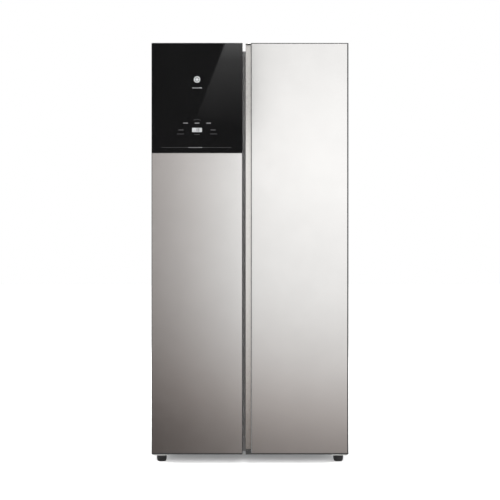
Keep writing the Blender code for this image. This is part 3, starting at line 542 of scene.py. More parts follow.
OWN_MAKERS = (
    door_steel, grip_metal, black_glass, galvanised, foam, white_liner, seal, clear_plastic, shelf_glass,
    copper, aluminium, ice_plastic,
)
FINISHES = {  # what makes each finish, and what it is told besides the finish's name
    **{maker.__name__: (maker,) for maker in OWN_MAKERS},
    # partly painted shade: the frame is made nearly black, so its thin lines round the steel sheets also
    # stand for the shade on their rounded edges
    "door_frame": (dull_moulded, (0.030, 0.030, 0.0305), 0.55, grey(0.06)),
    # painted shade: the flat grey of the strip that stands for the shade on the fridge sheet's rounded edge
    "edge_bead": (dull_moulded, (0.125, 0.124, 0.123), 0.60),
    "cover_plastic": (moulded, grey(0.28), 0.50, grey(0.40)),
    "black_plastic": (moulded, (0.020, 0.020, 0.021), 0.45, grey(0.07)),
    "case_paint": (painted, grey(0.33), 0.42),
    # painted shade: grey paint, darkened to stand also for the shade in the gap between the doors
    "divider": (painted, (0.27, 0.265, 0.26), 0.45),
    "hinge_zinc": (painted, (0.60, 0.59, 0.58), 0.45),
    "compressor_paint": (painted, (0.015, 0.015, 0.016), 0.28, 0.00002),
    "screw": (painted, (0.45, 0.45, 0.46), 0.30, 0.00001, 1.0),
    # painted glow: the printed signs glow faintly, though no lamp is behind them
    "print": (glowing, (0.55, 0.56, 0.57), 0.05, 300.0),
    "dim_print": (glowing, (0.16, 0.16, 0.165), 0.03, 300.0),
    "faint_print": (glowing, (0.035, 0.035, 0.037), 0.02, 300.0),
    "display": (glowing, (0.30, 0.305, 0.31), 0.12, 200.0),
    "lamp": (glowing, (0.95, 0.97, 1.0), 6.0, 90.0),
}


def finish(name):
    """The material of that name, made once."""
    maker, *told = FINISHES[name]
    return bpy.data.materials.get("finish_" + name) or maker(name, *told)


# The doors' fronts.


SHADE_STRIP_WIDTH = 0.0036  # width of the painted-shade strip, with the slit beside it
FRAME_BELOW, FRAME_ABOVE, FRAME_SIDE = 0.0034, 0.0013, 0.0028  # further in than the CAD sheets' edges; the nearly black frame that shows there is partly painted shade for the sheets' rounded edges


def glass_front():
    """The black glass sheet with polished edges, a print's thickness behind the front of its node."""
    low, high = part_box("freezer_door_glass")
    sheet = block((low.x, high.x), (low.y + PRINT, high.y), (low.z, high.z))
    instead_of("freezer_door_glass", rounded(sheet, 0.0009, 3))


def steel_fronts():
    """The two front sheets. The dark frame shows a little more below and above them than beside them."""
    # the frame's dark lines round the sheets are partly its own colour and partly painted shade for the
    # sheets' rounded edges
    for node, left, right in (("freezer_door_panel", 0.0, 0.0), ("fridge_door_panel", SHADE_STRIP_WIDTH, FRAME_SIDE)):
        low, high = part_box(node)
        x, z = (low.x + left, high.x - right), (low.z + FRAME_BELOW, high.z - FRAME_ABOVE)
        instead_of(node, rounded(block(x, (low.y, high.y), z), ROUNDING["door_steel"]))


def grip_edges():
    """The grey strip of painted shade between the fridge door's sheet and the grip, and the bright cap over
    the grip's end.
    """
    low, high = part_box("fridge_door_panel")
    grip_low, grip_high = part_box("grip_trim")
    behind, slit, rounding = 0.0002, 0.0003, 0.0003
    y = (low.y + behind, high.y)
    # painted shade: this grey strip stands for the shade on the fridge sheet's rounded edge
    shade_strip = block((low.x, low.x + SHADE_STRIP_WIDTH - behind), y, (low.z + FRAME_BELOW, high.z))
    piece("fridge_door_bead", rounded(shade_strip, rounding), "edge_bead", "fridge_door")
    cap = block((grip_low.x + slit, low.x - slit), y, (grip_high.z + 0.0008, CAD_HIGH.z - slit))
    piece("grip_cap", rounded(cap, rounding), "hinge_zinc", "fridge_door")


def sign(name, shapes, finish_name):
    """A printed or lit sign on the glass."""
    piece(name, together(shapes), finish_name, "freezer_door")


def print_depth():
    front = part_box("freezer_door_glass")[0].y
    return (front, front + PRINT + 0.0001)


def bar(x, z, width, height):
    """A flat bar with round ends on the glass, about a centre."""
    return tile(about(x, width / 2), about(z, height / 2), height * 0.45, "Y", print_depth())


def snowflake(x, z, size):
    """A ring round six plain arms."""
    low, high = print_depth()
    thick = size * 0.10
    section = rectangle((size / 2 - thick, size / 2), (0, high - low))
    shapes = [lathe(section, (x, low, z), "Y", ring=True)]
    for i in range(3):
        arm = block(about(x, size * 0.33), (low, high), about(z, thick / 2))
        shapes.append(turned(arm, math.pi * i / 3, (x, low, z)))
    return shapes


def arc_sign(x, z, radius, thickness, start, end):
    """A thin arc on the glass, between two angles in degrees from the +X side."""
    angles = [math.radians(angle) for angle in evenly(start, end, 13)]
    outline = [on_circle((x, z), radius, angle) for angle in angles]
    outline += [on_circle((x, z), radius - thickness, angle) for angle in reversed(angles)]
    return prism(outline, "Y", print_depth())


def digit(x, z, width, segments):
    """A seven-segment digit, dark on the lit display. Segments are letters from a, at the top, to g."""
    low, high = print_depth()
    half, thick = 0.9 * width, 0.24 * width
    end, side = half - thick / 2, (width - thick) / 2
    flat = {"a": z + end, "g": z, "d": z - end}
    upright = {"b": (side, half), "c": (side, -half), "e": (-side, -half), "f": (-side, half)}
    shapes = []
    for letter in segments:
        if letter in flat:
            across, tall = about(x, side), about(flat[letter], thick / 2)
        else:
            offset, reach = upright[letter]
            across, tall = about(x + offset, thick / 2), sorted((z, z + reach))
        shapes.append(block(across, (low, high - LAYER), tall))
    return shapes


def display(middle, top):
    """A small lit display with a minus sign and two digits."""
    front, back = print_depth()
    level, size = top - 0.3692, 0.0066
    screen = tile(about(middle, 0.0208), (top - 0.3780, top - 0.3603), 0.002, "Y", (front + LAYER, back))
    sign("display_screen", [screen], "display")
    figures = digit(middle - 0.004, level, size, "bc") + digit(middle + 0.006, level, size, "abcdefg")
    figures.append(block((middle - 0.014, middle - 0.009), (front, back - LAYER), about(level, 0.0008)))
    sign("display_digits", figures, "black_plastic")


def glass_signs():
    """Plain signs on the glass: a snowflake, dots, control bars and the display."""
    low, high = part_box("freezer_door_glass")
    middle, top = (low.x + high.x) / 2, high.z

    def bars(places, drop, width, height):
        return [bar(middle + x, top - drop, width, height) for x in places]

    dots = bars([0.0085 * i for i in (-2, -1, 0, 1, 2)], 0.191, 0.0035, 0.0035)
    sign("snowflake_sign", snowflake(middle, top - 0.155, 0.026) + dots, "print")
    sign("upper_control_bars", bars((-0.049, 0.0, 0.049), 0.340, 0.020, 0.0034), "dim_print")
    lower = bars((-0.068, 0.068), 0.369, 0.022, 0.0030) + bars((-0.070, 0.070), 0.386, 0.030, 0.0018)
    lower.append(arc_sign(middle, top - 0.356, 0.032, 0.0012, 62, 118))
    lower.append(arc_sign(middle, top - 0.362, 0.028, 0.0016, 245, 295))
    sign("lower_control_bars", lower, "faint_print")
    display(middle, top)
    sign("lower_line", bars((-0.003,), 0.4435, 0.297, 0.0011), "faint_print")
    sign("lower_line_bar", bars((-0.008,), 0.4435, 0.060, 0.0030), "dim_print")


# The doors' insides.

SEAL_PROFILE = (  # (inward from the outer edge, from the door) as shares of the seal's width and depth
    (0.00, 0.12), (0.22, 0.00), (0.78, 0.00), (1.00, 0.12), (0.88, 0.36), (1.00, 0.58),
    (1.00, 0.90), (0.90, 1.00), (0.10, 1.00), (0.00, 0.90), (0.00, 0.58), (0.12, 0.36),
)
SEAL_WIDTH = 0.017
BIN_HEIGHT = 0.095
BIN_CORNER = 0.018


def bellows_seal(node):
    """A magnetic seal: one folded profile run round a door, mitred at its corners."""
    low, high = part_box(node)
    depth = high.y - low.y
    bm = bmesh.new()
    loops = []
    for inward, out in SEAL_PROFILE:
        inset, y = inward * SEAL_WIDTH, low.y + out * depth
        corners = rectangle((low.x + inset, high.x - inset), (low.z + inset, high.z - inset))
        loops.append([bm.verts.new((x, y, z)) for x, z in corners])
    instead_of(node, rounded(skinned(bm, loops, closed=True), 0.0004))


def bin_path(x, y, radius, steps=6):
    """A U-shaped line round a bin's sides and front, from the door's left to its right."""
    left = [(x[0], y[0])]
    right = [(x[1], y[0])]
    for i in range(steps + 1):
        angle = math.pi / 2 * i / steps
        reach, rise = radius * (1 - math.cos(angle)), radius * math.sin(angle)
        left.append((x[0] + reach, y[1] - radius + rise))
        right.append((x[1] - reach, y[1] - radius + rise))
    return left + right[::-1]


def bin_band(node):
    """A white band round the top of a door bin."""
    low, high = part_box(node)
    top = low.z + BIN_HEIGHT
    back, proud, inner = low.y + 0.004, 0.0010, 0.0034
    outside = bin_path((low.x - proud, high.x + proud), (back, high.y + proud), BIN_CORNER + proud)
    inside = bin_path((low.x + inner, high.x - inner), (back, high.y - inner), BIN_CORNER - inner)
    band = prism(outside + inside[::-1], "Z", (top - 0.013, top - 0.0010))
    fitting(node + "_band", rounded(band, 0.0006), "white_liner", BODY_OF[node])


def bin_ribs(node):
    """Fine ribs on a door bin's floor, which bottles stand on."""
    low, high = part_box(node)
    floor, pitch, inset = low.z + 0.0025, 0.024, 0.02
    count = round((high.x - low.x - 0.03) / pitch)
    y, z = (low.y + 0.010, low.y + 0.108), (floor - 0.0002, floor + 0.0012)
    ribs = [block(about(x, 0.001), y, z) for x in evenly(low.x + inset, high.x - inset, count)]
    fitting(node + "_ribs", rounded(together(ribs), 0.0004), "clear_plastic", BODY_OF[node])


def door_fittings():
    for door in ("freezer", "fridge"):
        bellows_seal(door + "_door_gasket")
        for number in (1, 2, 3):
            bin_band(f"{door}_door_bin_{number}")
            bin_ribs(f"{door}_door_bin_{number}")


# Shelves, drawers and lamps.

PLATE = (0.010, 0.014)  # a shelf's plate, above the bottom of its front trim


def shelf(node):
    """A glass plate in a white front trim with a bright inlay, and a raised white trim behind."""
    low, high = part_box(node)
    body = BODY_OF[node]
    x = (low.x + 0.0006, high.x - 0.0006)
    plate = block(x, (low.y + 0.006, high.y - 0.004), (low.z + PLATE[0], low.z + PLATE[1]))
    instead_of(node, rounded(plate, 0.0006))
    front = tile((low.y + 0.0006, low.y + 0.016), (low.z, low.z + 0.0165), 0.0040, "X", x)
    back = tile((high.y - 0.012, high.y), (low.z + 0.005, high.z), 0.0030, "X", x)
    fitting(node + "_front_trim", rounded(front, 0.0005), "white_liner", body)
    fitting(node + "_back_trim", rounded(back, 0.0005), "white_liner", body)
    x, z = (low.x + 0.012, high.x - 0.012), (low.z + 0.0050, low.z + 0.0115)
    inlay = tile(x, z, 0.0025, "Y", (low.y, low.y + 0.0012))
    fitting(node + "_inlay", rounded(inlay, 0.0003), "aluminium", body)


def drawer_fittings(node):
    """A bright strip on a drawer's lip, and ribs under its front."""
    low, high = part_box(node)
    body = BODY_OF[node]
    x, z = (low.x + 0.034, high.x - 0.034), (high.z - 0.0195, high.z - 0.0065)
    strip = tile(x, z, 0.004, "Y", (low.y - 0.0008, low.y + 0.0006))
    fitting(node + "_strip", rounded(strip, 0.0003), "aluminium", body)
    x, front = (low.x + 0.030, high.x - 0.030), low.y + 0.010
    ribs = []
    for i in range(3):
        z = low.z + 0.020 + 0.012 * i
        ribs.append(tile(x, (z, z + 0.004), 0.0018, "Y", (front - 0.0008, front + 0.0005)))
    fitting(node + "_ribs", rounded(together(ribs), 0.0003), "clear_plastic", body)


SEAL_OVER_CEILING = 0.0355  # how far a door's seal reaches above its compartment's ceiling


def ceiling_lamp(room, shelf_node):
    """A lit lens in a white frame, on a compartment's ceiling near the front."""
    low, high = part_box(shelf_node)
    middle = (low.x + high.x) / 2
    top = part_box(room + "_door_gasket")[1].z - SEAL_OVER_CEILING - LAMP_GAP
    for part, margin, radius, z, look in (  # the margin is how much smaller it is all round
        ("frame", 0.0, 0.008, (top - 0.004, top), "white_liner"),
        ("lens", 0.008, 0.006, (top - 0.0065, top - 0.003), "lamp"),
    ):
        y = (low.y + 0.045 + margin, low.y + 0.085 - margin)
        shape = tile(about(middle, 0.080 - margin), y, radius, "Z", z)
        piece(f"{room}_lamp_{part}", rounded(shape, 0.001), look, "cabinet")


def tower_light():
    """A lit strip up each side of the air tower, and a small sensor cage below it."""
    low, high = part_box("air_duct")
    y, z = (low.y - 0.0015, low.y + 0.0005), (low.z + 0.060, high.z - 0.030)
    strips = [tile(about(x, 0.005), z, 0.004, "Y", y) for x in (low.x + 0.012, high.x - 0.012)]
    piece("air_duct_light", together([rounded(strip, 0.0005) for strip in strips]), "lamp", "cabinet")
    x, y = about((low.x + high.x) / 2, 0.022), (low.y - 0.006, low.y + 0.0005)
    levels = [low.z + 0.030 + 0.004 * i for i in range(5)]
    cage = together([block(x, y, (z, z + 0.0016)) for z in levels])
    fitting("temperature_sensor_cage", rounded(cage, 0.0004), "white_liner")


def fan_grille():
    """Rings and spokes in front of the freezer's fan."""
    low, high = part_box("evaporator_fan")
    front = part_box("evaporator_cover")[0].y
    centre = Vector(((low.x + high.x) / 2, 0.0, (low.z + high.z) / 2))
    y = (front - 0.0035, front + 0.0005)
    sections = [rectangle(about(radius, 0.0015), y) for radius in (0.012, 0.022, 0.032, 0.042)]
    shapes = [lathe(section, centre, "Y", ring=True) for section in sections]
    for i in range(4):
        spoke = block(about(centre.x, 0.043), (y[0] + 0.0008, y[1]), about(centre.z, 0.001))
        shapes.append(turned(spoke, math.pi * i / 4, centre))
    fitting("evaporator_fan_grille", together(shapes), "white_liner")


def inside_fittings():
    for node in sorted(frame["nodes"]):
        if "_shelf_" in node:
            shelf(node)
    for node in ("freezer_drawer_lower", "freezer_drawer_upper", "crisper_lower", "crisper_upper"):
        drawer_fittings(node)
    ceiling_lamp("fridge", "fridge_shelf_1")
    ceiling_lamp("freezer", "freezer_shelf_1")
    tower_light()
    fan_grille()


# The back.

PROUD = 0.0003  # screw heads and plugs reach this far out from the pressed sheets
FLANGE_DROP = 0.0010  # from the sheets' box to their flanges
SLOPE = 0.003  # width of the slope round a raised field
CORD_HOLE = (-0.375, 0.080)  # (x, z) of the hole for the cord, low at one side


def pressed_sheet(node, x_steps, z_steps, is_open=lambda i, j: False):
    """A sheet on a grid, in place of a node. Each grid line is (place, raised or not)."""
    low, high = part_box(node)
    back, outer, inner = low.y, high.y - PROUD, high.y - FLANGE_DROP
    bm = bmesh.new()
    front, rear = {}, {}
    for i, (x, x_raised) in enumerate(x_steps):
        for j, (z, z_raised) in enumerate(z_steps):
            level = outer if x_raised and z_raised else inner
            front[i, j] = bm.verts.new((x, level, z))
            rear[i, j] = bm.verts.new((x, back + (level - inner) * 0.6, z))
    grid = [(i, j) for i in range(len(x_steps) - 1) for j in range(len(z_steps) - 1)]
    cells = {cell for cell in grid if not is_open(*cell)}
    for i, j in cells:
        ring = ((i, j), (i + 1, j), (i + 1, j + 1), (i, j + 1))
        bm.faces.new([front[k] for k in ring])
        bm.faces.new([rear[k] for k in reversed(ring)])
        beside = ((i, j - 1), (i + 1, j), (i, j + 1), (i - 1, j))
        for side, neighbour in enumerate(beside):
            if neighbour not in cells:
                a, b = ring[side], ring[(side + 1) % 4]
                bm.faces.new((front[a], front[b], rear[b], rear[a]))
    bmesh.ops.delete(bm, geom=[v for v in bm.verts if not v.link_faces], context="VERTS")
    bmesh.ops.recalc_face_normals(bm, faces=bm.faces)
    instead_of(node, bm)


def raised_steps(low, high, flange, groove, count):
    """Grid lines of a flange, then raised fields with grooves between them, then a flange."""
    steps = [(low, False)]
    width = (high - low - 2 * flange - groove * (count - 1)) / count
    start = low + flange
    for _ in range(count):
        end = start + width
        steps += [(start, False), (start + SLOPE, True), (end - SLOPE, True), (end, False)]
        start += width + groove
    return steps + [(high, False)]


def slotted_steps(low, high, flange, slots):
    """Grid lines of a flange, then one raised field with slots in it, then a flange."""
    steps = [(low, False), (low + flange, False), (low + flange + SLOPE, True)]
    steps += [(place, True) for slot in slots for place in slot]
    return steps + [(high - flange - SLOPE, True), (high - flange, False), (high, False)]


def rear_panel():
    """The back sheet, pressed into raised fields so that it doesn't drum."""
    low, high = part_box("rear_panel")
    x_steps = raised_steps(low.x, high.x, 0.030, 0.018, 3)
    z_steps = raised_steps(low.z, high.z, 0.030, 0.018, 4)
    pressed_sheet("rear_panel", x_steps, z_steps)


def plug(x, z, sheet, radius, bevel):
    """A round plug in a hole of a pressed sheet, with its face's edge cut back."""
    low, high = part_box(sheet)
    profile = [(0.0, low.y), (radius, low.y), (radius, high.y - 0.0002), (radius - bevel, high.y)]
    return lathe(profile + [(0.0, high.y)], (x, 0.0, z), "Y")


def machine_cover():
    """The cover over the machine room: one raised field with louvre slots, in a flat flange."""
    low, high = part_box("machine_cover")
    flange = 0.022
    # The slots are those of the CAD cover.
    slots_x = [(0.120 * i - 0.340, 0.120 * i - 0.250) for i in range(6)]
    slots_z = [(0.090 + 0.030 * i, 0.095 + 0.030 * i) for i in range(4)]
    x_steps = slotted_steps(low.x, high.x, flange, slots_x)
    z_steps = slotted_steps(low.z, high.z, flange, slots_z)

    def is_open(i, j):
        return i in range(3, 14, 2) and j in range(3, 10, 2)

    pressed_sheet("machine_cover", x_steps, z_steps, is_open)
    blades = []
    for left, right in slots_x:
        for bottom, top in slots_z:
            centre = Vector(((left + right) / 2, low.y - 0.0028, (bottom + top) / 2))
            blade = block((left, right), about(centre.y, 0.0034), about(centre.z, 0.0004))
            blades.append(turned(blade, math.radians(38), centre, "X"))
    fitting("machine_cover_louvres", together(blades), "galvanised")
    fitting("machine_cover_grommet", plug(*CORD_HOLE, "machine_cover", 0.0105, 0.0015), "black_plastic")


SCREW_HEAD = (  # (share of its radius, share of its height)
    (0.0, -0.3), (1.0, -0.3), (1.0, 0.45), (0.75, 0.9), (0.4, 1.0), (0.0, 1.0),
)


def cross_screws(name, places, axis, radius, height):
    """Screws that stand up along an axis, with domed heads and a cross in each."""
    index = "XYZ".index(axis)
    heads, crosses = [], []
    for place in places:
        level = place[index]
        centre = Vector(place)
        centre[index] = 0.0
        profile = [(radius * reach, level + height * rise) for reach, rise in SCREW_HEAD]
        heads.append(lathe(profile, centre, axis, segments=24))
        spans = [about(place[k], radius * (0.55 if k == (index + 1) % 3 else 0.12)) for k in range(3)]
        spans[index] = (level + height * 0.5, level + height + 0.00002)
        for turn in (math.pi / 4, -math.pi / 4):
            crosses.append(turned(block(*spans), turn, centre, axis))
    piece(name, together(heads), "screw", "cabinet")
    fitting(name + "_crosses", together(crosses), "black_plastic")


def back_screws():
    """Screws in the flanges of the back sheet and of the machine room's cover."""
    low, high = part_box("rear_panel")
    level, inset = high.y - FLANGE_DROP, 0.014
    sides, heights = (low.x + inset, high.x - inset), evenly(low.z + 0.04, high.z - 0.04, 7)
    places = [(x, level, z) for x in sides for z in heights]
    places += [(x, level, high.z - inset) for x in evenly(low.x, high.x, 5)[1:-1]]
    low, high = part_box("machine_cover")
    inset = 0.011
    across = evenly(low.x + inset, high.x - inset, 5)
    places += [(x, level, z) for z in (low.z + inset, high.z - inset) for x in across]
    cross_screws("back_screws", places, "Y", 0.0042, 0.0009)


def foam_plugs():
    """Flat plugs over the two holes that the foam was poured through."""
    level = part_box("rear_panel")[0].z + 0.20
    plugs = [plug(x, level, "rear_panel", 0.017, 0.001) for x in (-0.26, 0.26)]
    fitting("foam_plugs", together(plugs), "white_liner")


BOLT_PLACE, BOLT_RADIUS = -0.206, 0.0055  # the bottom hinges' bolts, along Y


def hinge_screws():
    """A screw on each hinge cover, and hexagon bolts under the bottom hinges."""
    places, bolts = [], []
    for side in ("left", "right"):
        low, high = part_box("hinge_cover_" + side)
        places.append(((low.x + high.x) / 2, high.y - 0.030, high.z))
        low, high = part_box("bottom_hinge_" + side)
        for x in (low.x + 0.010, low.x + 0.026):
            outline = [on_circle((x, BOLT_PLACE), BOLT_RADIUS, math.tau * i / 6) for i in range(6)]
            bolts.append(rounded(prism(outline, "Z", (low.z - 0.0035, low.z + 0.0005)), 0.0005))
    cross_screws("hinge_cover_screws", places, "Z", 0.0040, 0.0022)
    piece("bottom_hinge_bolts", together(bolts), "screw", "cabinet")


def outside_fittings():
    rear_panel()
    machine_cover()
    back_screws()
    foam_plugs()
    hinge_screws()


# Feet, rollers and the compressor.


FOOT_PROFILE = (  # (share of the foot's radius, height), up to the stud
    (0.0, 0.0), (0.62, 0.0), (0.78, 0.0015), (0.86, 0.0035), (0.94, 0.0080), (0.985, 0.0130),
    (1.0, 0.0160), (1.0, 0.0240), (0.97, 0.0252), (0.88, 0.0260), (0.40, 0.0268), (0.295, 0.0272),
)
FLUTED = range(4, 9)  # the profile's points that the flutes run over
STUD_BOTTOM = 0.0280


def flutes(angle, number):
    """Nine pairs of flutes round a foot."""
    return 1.0 - (0.035 * math.cos(9 * angle) ** 2 if number in FLUTED else 0.0)


def levelling_foot(node):
    """A fluted foot on a threaded stud."""
    low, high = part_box(node)
    centre = ((low.x + high.x) / 2, (low.y + high.y) / 2, 0.0)
    radius = (high.x - low.x) / 2
    profile = [(share * radius, z) for share, z in FOOT_PROFILE]
    pitch, crest = 0.00175, 0.28 * radius
    root = 0.86 * crest
    for i in range(int((high.z - STUD_BOTTOM) / pitch)):
        z = STUD_BOTTOM + pitch * i
        profile += [(crest, z), (crest, z + 0.25 * pitch), (root, z + 0.5 * pitch), (root, z + 0.75 * pitch)]
    profile += [(0.9 * crest, high.z), (0.0, high.z)]
    instead_of(node, lathe(profile, centre, segments=108, wave=flutes))


def roller(node):
    """A hard wheel with a grooved tread, dished sides and an axle."""
    low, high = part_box(node)
    centre = (0.0, (low.y + high.y) / 2, (low.z + high.z) / 2)
    middle, radius = (low.x + high.x) / 2, (high.z - low.z) / 2
    half, axle, end = 0.008, 0.004, (high.x - low.x) / 2
    dished = half - 0.002
    right = [(0.0, end), (axle, end), (axle, dished), (radius * 0.55, dished), (radius * 0.62, half)]
    right += [(radius * 0.90, half), (radius * 0.97, half - 0.0008), (radius, dished)]
    right += [(radius, 0.0025), (radius * 0.96, 0.0015)]
    left = [(reach, -along) for reach, along in reversed(right)]
    profile = [(reach, middle + along) for reach, along in right + left]
    instead_of(node, lathe(profile, centre, "X", segments=64))


GROMMET = ((0.0, 0.003), (0.009, 0.003), (0.009, 0.007), (0.006, 0.010), (0.0, 0.010))  # (radius, height)


def shell_profile(low, high, radius, seam):
    """The compressor's shell: a round bottom, a weld seam and a domed top."""
    base, waist, shoulder = low + 0.0025, 0.97 * radius, low + 0.62 * (high - low)
    profile = [(0.0, base), (0.60 * radius, base)]
    for i in range(1, 7):
        angle = math.pi / 2 * i / 6
        profile.append((radius * (0.60 + 0.37 * math.sin(angle)), base + 0.035 * (1 - math.cos(angle))))
    profile += [(waist, seam), (radius, seam + 0.001), (radius, seam + 0.005), (waist, seam + 0.006)]
    profile.append((waist, shoulder))
    for i in range(1, 8):
        angle = math.pi / 2 * i / 8
        profile.append((waist * math.cos(angle), shoulder + (high - shoulder) * math.sin(angle)))
    return profile + [(0.0, high)]


def compressor():
    """A welded two-part shell on its foot plate, with its terminal cover and three stub pipes."""
    low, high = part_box("compressor")
    x, y = (low.x + high.x) / 2, (low.y + high.y) / 2
    radius, seam = 0.072, low.z + 0.45 * (high.z - low.z)
    shell = lathe(shell_profile(low.z, high.z, radius, seam), (x, y, 0.0), segments=64)
    plate = tile((low.x, high.x), (low.y, high.y), 0.012, "Z", (low.z, low.z + 0.003))
    instead_of("compressor", together([shell, rounded(plate, 0.0006)]))
    cover_x = (x + radius - 0.006, x + radius + 0.016)
    cover = block(cover_x, about(y, 0.022), (seam + 0.012, seam + 0.052))
    fitting("compressor_terminal_cover", rounded(cover, 0.003, 3), "black_plastic")
    stubs = []
    for angle in (2.2, 2.7, 3.3):
        place = (*on_circle((x, y), 0.93 * radius, angle), 0.0)
        profile = [(0.0, seam + 0.016), (0.0035, seam + 0.016), (0.0035, high.z), (0.0, high.z)]
        stubs.append(lathe(profile, place, segments=20))
    fitting("compressor_stub_pipes", together(stubs), "copper")
    section = [(reach, low.z + rise) for reach, rise in GROMMET]
    inset = 0.012
    corners = [(i, j) for i in (low.x + inset, high.x - inset) for j in (low.y + inset, high.y - inset)]
    grommets = [lathe(section, (*corner, 0.0), segments=24) for corner in corners]
    fitting("compressor_grommets", together(grommets), "black_plastic")


def running_gear():
    for side in ("left", "right"):
        levelling_foot("foot_" + side)
        roller("roller_" + side)
    compressor()


# Studio.


def camera():
    data = bpy.data.cameras.new("camera")
    data.sensor_width = SENSOR
    data.lens = SENSOR * CAMERA_DISTANCE / VIEW_WIDTH
    data.clip_end = 100.0
    made = new_object("camera", data)
    made.location = (0.0, CAD_LOW.y - CAMERA_DISTANCE, CAMERA_HEIGHT)
    made.rotation_euler = (math.pi / 2, 0.0, 0.0)
    bpy.context.scene.camera = made


def stage_sheet(name, corners, material):
    """A flat sheet of the studio."""
    mesh = bpy.data.meshes.new(name)
    mesh.from_pydata(corners, [], [tuple(range(len(corners)))])
    mesh.materials.append(material)
    obj = new_object(name, mesh)
    return obj


def floor():
    """A large pale floor. The doors' gloss doesn't see it, because the card's foot stands in for it there."""
    made = Surface("floor", grey(0.76), 0.95, Specular_IOR_Level=0.1, Emission_Strength=0.12)
    made.shader.inputs["Emission Color"].default_value = (1.0, 1.0, 1.0, 1.0)
    made.mottle(3.0, 3.0, 0.40, 0.70, grey(0.75))
    half = 30.0
    corners = [(-half, -half, 0), (half, -half, 0), (half, half, 0), (-half, half, 0)]
    sheet = stage_sheet("floor", corners, made.material)
    sheet.visible_glossy = False


def glow_material(name):
    """An emission material and its tree, for the cards."""
    made = bpy.data.materials.new(name)
    made.use_nodes = True
    made.node_tree.nodes.clear()
    glow = add_node(made.node_tree, "Emission")
    add_node(made.node_tree, "OutputMaterial", {"Surface": glow.outputs[0]})
    return made, glow


def ramp(tree, source, stops):
    """A colour ramp through (place, colour) stops."""
    node = add_node(tree, "ValToRGB", {0: source})
    elements = node.color_ramp.elements
    for element, (place, colour) in zip(elements, (stops[0], stops[-1])):
        element.position, element.color = place, (*colour, 1.0)
    for place, colour in stops[1:-1]:
        elements.new(place).color = (*colour, 1.0)
    return node.outputs["Color"]


def gradient(tree, axis, low, high, space="Object"):
    """A coordinate, from 0 at low to 1 at high."""
    place = add_node(tree, "TexCoord").outputs[space]
    level = add_node(tree, "SeparateXYZ", {0: place}).outputs[axis]
    return add_node(tree, "MapRange", {0: level, 1: low, 2: high}).outputs["Result"]


def on_doors(tree, axis):
    """A card point's height or side, from 0 to 1 over its mirror image in the doors."""
    reach = 1.0 + CARD_DISTANCE / CAMERA_DISTANCE
    centre = 0.0 if axis == "X" else CAMERA_HEIGHT
    ends = (CAD_LOW.x, CAD_HIGH.x) if axis == "X" else (CAD_LOW.z, CAD_HIGH.z)
    return gradient(tree, axis, *(centre + (end - centre) * reach for end in ends))


def light_only(source, name, state="INCLUDE"):
    """Lets a card or light reach only one object, or all but that one."""
    receivers = bpy.data.collections.new(source.name + "_receivers")
    receivers.objects.link(bpy.data.objects[name])
    receivers.collection_objects[0].light_linking.link_state = state
    source.light_linking.receiver_collection = receivers


def hidden_card(name, corners, material, on_glass):
    """A card in front of the doors that only gloss sees: the glass one card, and all else the other."""
    card = stage_sheet(name, corners, material)
    card.visible_camera = False
    card.visible_shadow = False
    card.visible_diffuse = False
    light_only(card, "freezer_door_glass_fine", "INCLUDE" if on_glass else "EXCLUDE")


CARD_BY_HEIGHT = (  # (height over the doors, brightness, warmth)
    (0.00, 0.155, 0.16), (0.05, 0.19, 0.16), (0.15, 0.37, 0.12), (0.24, 0.52, 0.05), (0.42, 0.74, 0.01),
    (0.56, 0.80, 0.01), (0.70, 0.89, 0.01), (0.85, 0.86, 0.01), (1.00, 0.76, 0.01),
)
CARD_BY_SIDE = (  # (place from left to right over the doors, brightness, warmth)
    (0.00, 0.34, 0.09), (0.20, 0.60, 0.06), (0.44, 0.85, 0.0), (0.49, 1.04, 0.0), (1.00, 1.10, 0.0),
)
CARD_TILT, CARD_LIFT = 0.08, 0.05  # the bands stand that much lower at the right, and higher all over


def gradient_card():
    """The soft light that the steel reflects: brightest two thirds up, darker low down and to the left."""
    material, glow = glow_material("card_gradient")
    tree = material.node_tree
    side, height = on_doors(tree, "X"), on_doors(tree, "Z")
    tilted = add_node(tree, "Math", {0: side, 1: CARD_TILT, 2: height}, operation="MULTIPLY_ADD").outputs[0]
    lifted = add_node(tree, "Math", {0: tilted, 1: CARD_LIFT}, operation="SUBTRACT").outputs[0]
    up = ramp(tree, lifted, [(place, grey(*light)) for place, *light in CARD_BY_HEIGHT])
    across = ramp(tree, side, [(place, grey(*light)) for place, *light in CARD_BY_SIDE])
    both = add_node(tree, "Mix", {0: 1.0, 6: up, 7: across}, data_type="RGBA", blend_type="MULTIPLY")
    tree.links.new(both.outputs[2], glow.inputs["Color"])
    glow.inputs["Strength"].default_value = 1.0 / STEEL[0]
    y = CAD_LOW.y - CARD_DISTANCE
    left, right, bottom, top = -1.6, 1.6, -1.2, 3.2
    corners = [(left, y, bottom), (left, y, top), (right, y, top), (right, y, bottom)]
    hidden_card("card_gradient", corners, material, on_glass=False)


SLANTED_CARD = (  # (share of the card's height, brightness)
    (0.0, 0.0), (0.10, 0.023), (0.33, 0.105), (0.56, 0.22), (0.78, 0.36), (0.90, 0.66), (1.0, 0.90),
)


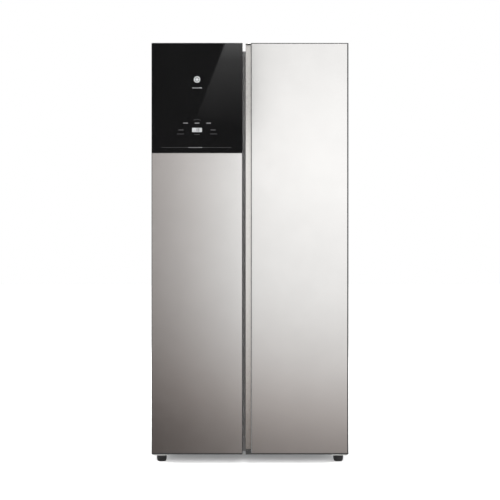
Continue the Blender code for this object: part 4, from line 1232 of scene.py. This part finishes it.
def slanted_card():
    """A bright card with a slanting edge, mirrored in the top right of the black glass."""
    material, glow = glow_material("card_slanted")
    tree = material.node_tree
    low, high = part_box("freezer_door_glass")
    distance = CARD_DISTANCE - 0.1
    reach = 1.0 + distance / CAMERA_DISTANCE

    def seen(x, z):
        return (x * reach, CAD_LOW.y - distance, CAMERA_HEIGHT + (z - CAMERA_HEIGHT) * reach)

    past = 0.010  # how far the card runs on past the glass, above and to the right
    corners = [
        seen(low.x + 0.171, low.z + 0.100),
        seen(low.x + 0.317, high.z + past),
        seen(high.x + past, high.z + past),
        seen(high.x + past, low.z + 0.100),
    ]
    height = gradient(tree, "Z", corners[0][2], corners[1][2])
    colour = ramp(tree, height, [(place, grey(value)) for place, value in SLANTED_CARD])
    tree.links.new(colour, glow.inputs["Color"])
    glow.inputs["Strength"].default_value = 4.0
    hidden_card("card_slanted", corners, material, on_glass=True)


SKY = ((0.0, 0.25), (0.48, 0.45), (0.6, 0.75), (1.0, 0.9))  # (from straight down to straight up, brightness)


def world():
    """White where the camera sees it, and a soft sky for everything else."""
    made = bpy.data.worlds.new("studio")
    bpy.context.scene.world = made
    made.use_nodes = True
    tree = made.node_tree
    tree.nodes.clear()
    height = gradient(tree, "Z", -1.0, 1.0, "Generated")
    sky = ramp(tree, height, [(place, grey(value)) for place, value in SKY])
    soft = add_node(tree, "Background", {"Color": sky, "Strength": 0.8}).outputs[0]
    plain = add_node(tree, "Background", {"Color": (*grey(1.0), 1.0)}).outputs[0]
    seen = add_node(tree, "LightPath").outputs["Is Camera Ray"]
    mix = add_node(tree, "MixShader", {0: seen, 1: soft, 2: plain}).outputs[0]
    add_node(tree, "OutputWorld", {"Surface": mix})


def new_light(name, kind, energy):
    """A light, still at the origin."""
    light = new_object(name, bpy.data.lights.new(name, kind))
    light.data.energy = energy
    return light


def area_light(name, place, target, energy):
    """A round light of three metres, turned to a target."""
    light = new_light(name, "AREA", energy)
    light.data.shape, light.data.size = "DISK", 3.0
    light.location = place
    light.rotation_euler = (Vector(target) - Vector(place)).to_track_quat("-Z", "Y").to_euler()
    return light


def key_light():
    """A very soft light from high in front, even over the whole floor."""
    light = new_light("key_light", "SUN", 2.6)
    light.data.angle = math.radians(40)
    light.rotation_euler = (math.radians(38), 0.0, 0.0)


def floor_light():
    """A low light in front that only the floor sees. It reaches a little way in under the appliance."""
    light = area_light("floor_light", (0.0, -5.5, 1.2), (0.0, 0.0, 0.0), 800.0)
    light.visible_glossy = False
    light_only(light, "floor")


def lights():
    """The key light, and a weaker one each side and behind."""
    middle = (CAD_LOW + CAD_HIGH) / 2
    key_light()
    floor_light()
    for side in (-1, 1):
        area_light(f"side_light_{side}", (side * 5.0, 0.5, 3.5), middle, 160.0)
    area_light("back_light", (0.0, 5.5, 4.0), middle, 160.0)


def studio():
    floor()
    gradient_card()
    slanted_card()
    world()
    lights()
    bpy.context.scene.view_settings.view_transform = "Standard"


# The whole appliance.


def build():
    camera()
    glass_front()
    steel_fronts()
    grip_edges()
    glass_signs()
    door_fittings()
    inside_fittings()
    outside_fittings()
    running_gear()
    for node, obj in frame["nodes"].items():
        if not obj.hide_render:
            fine_copy(node)
    studio()


build()
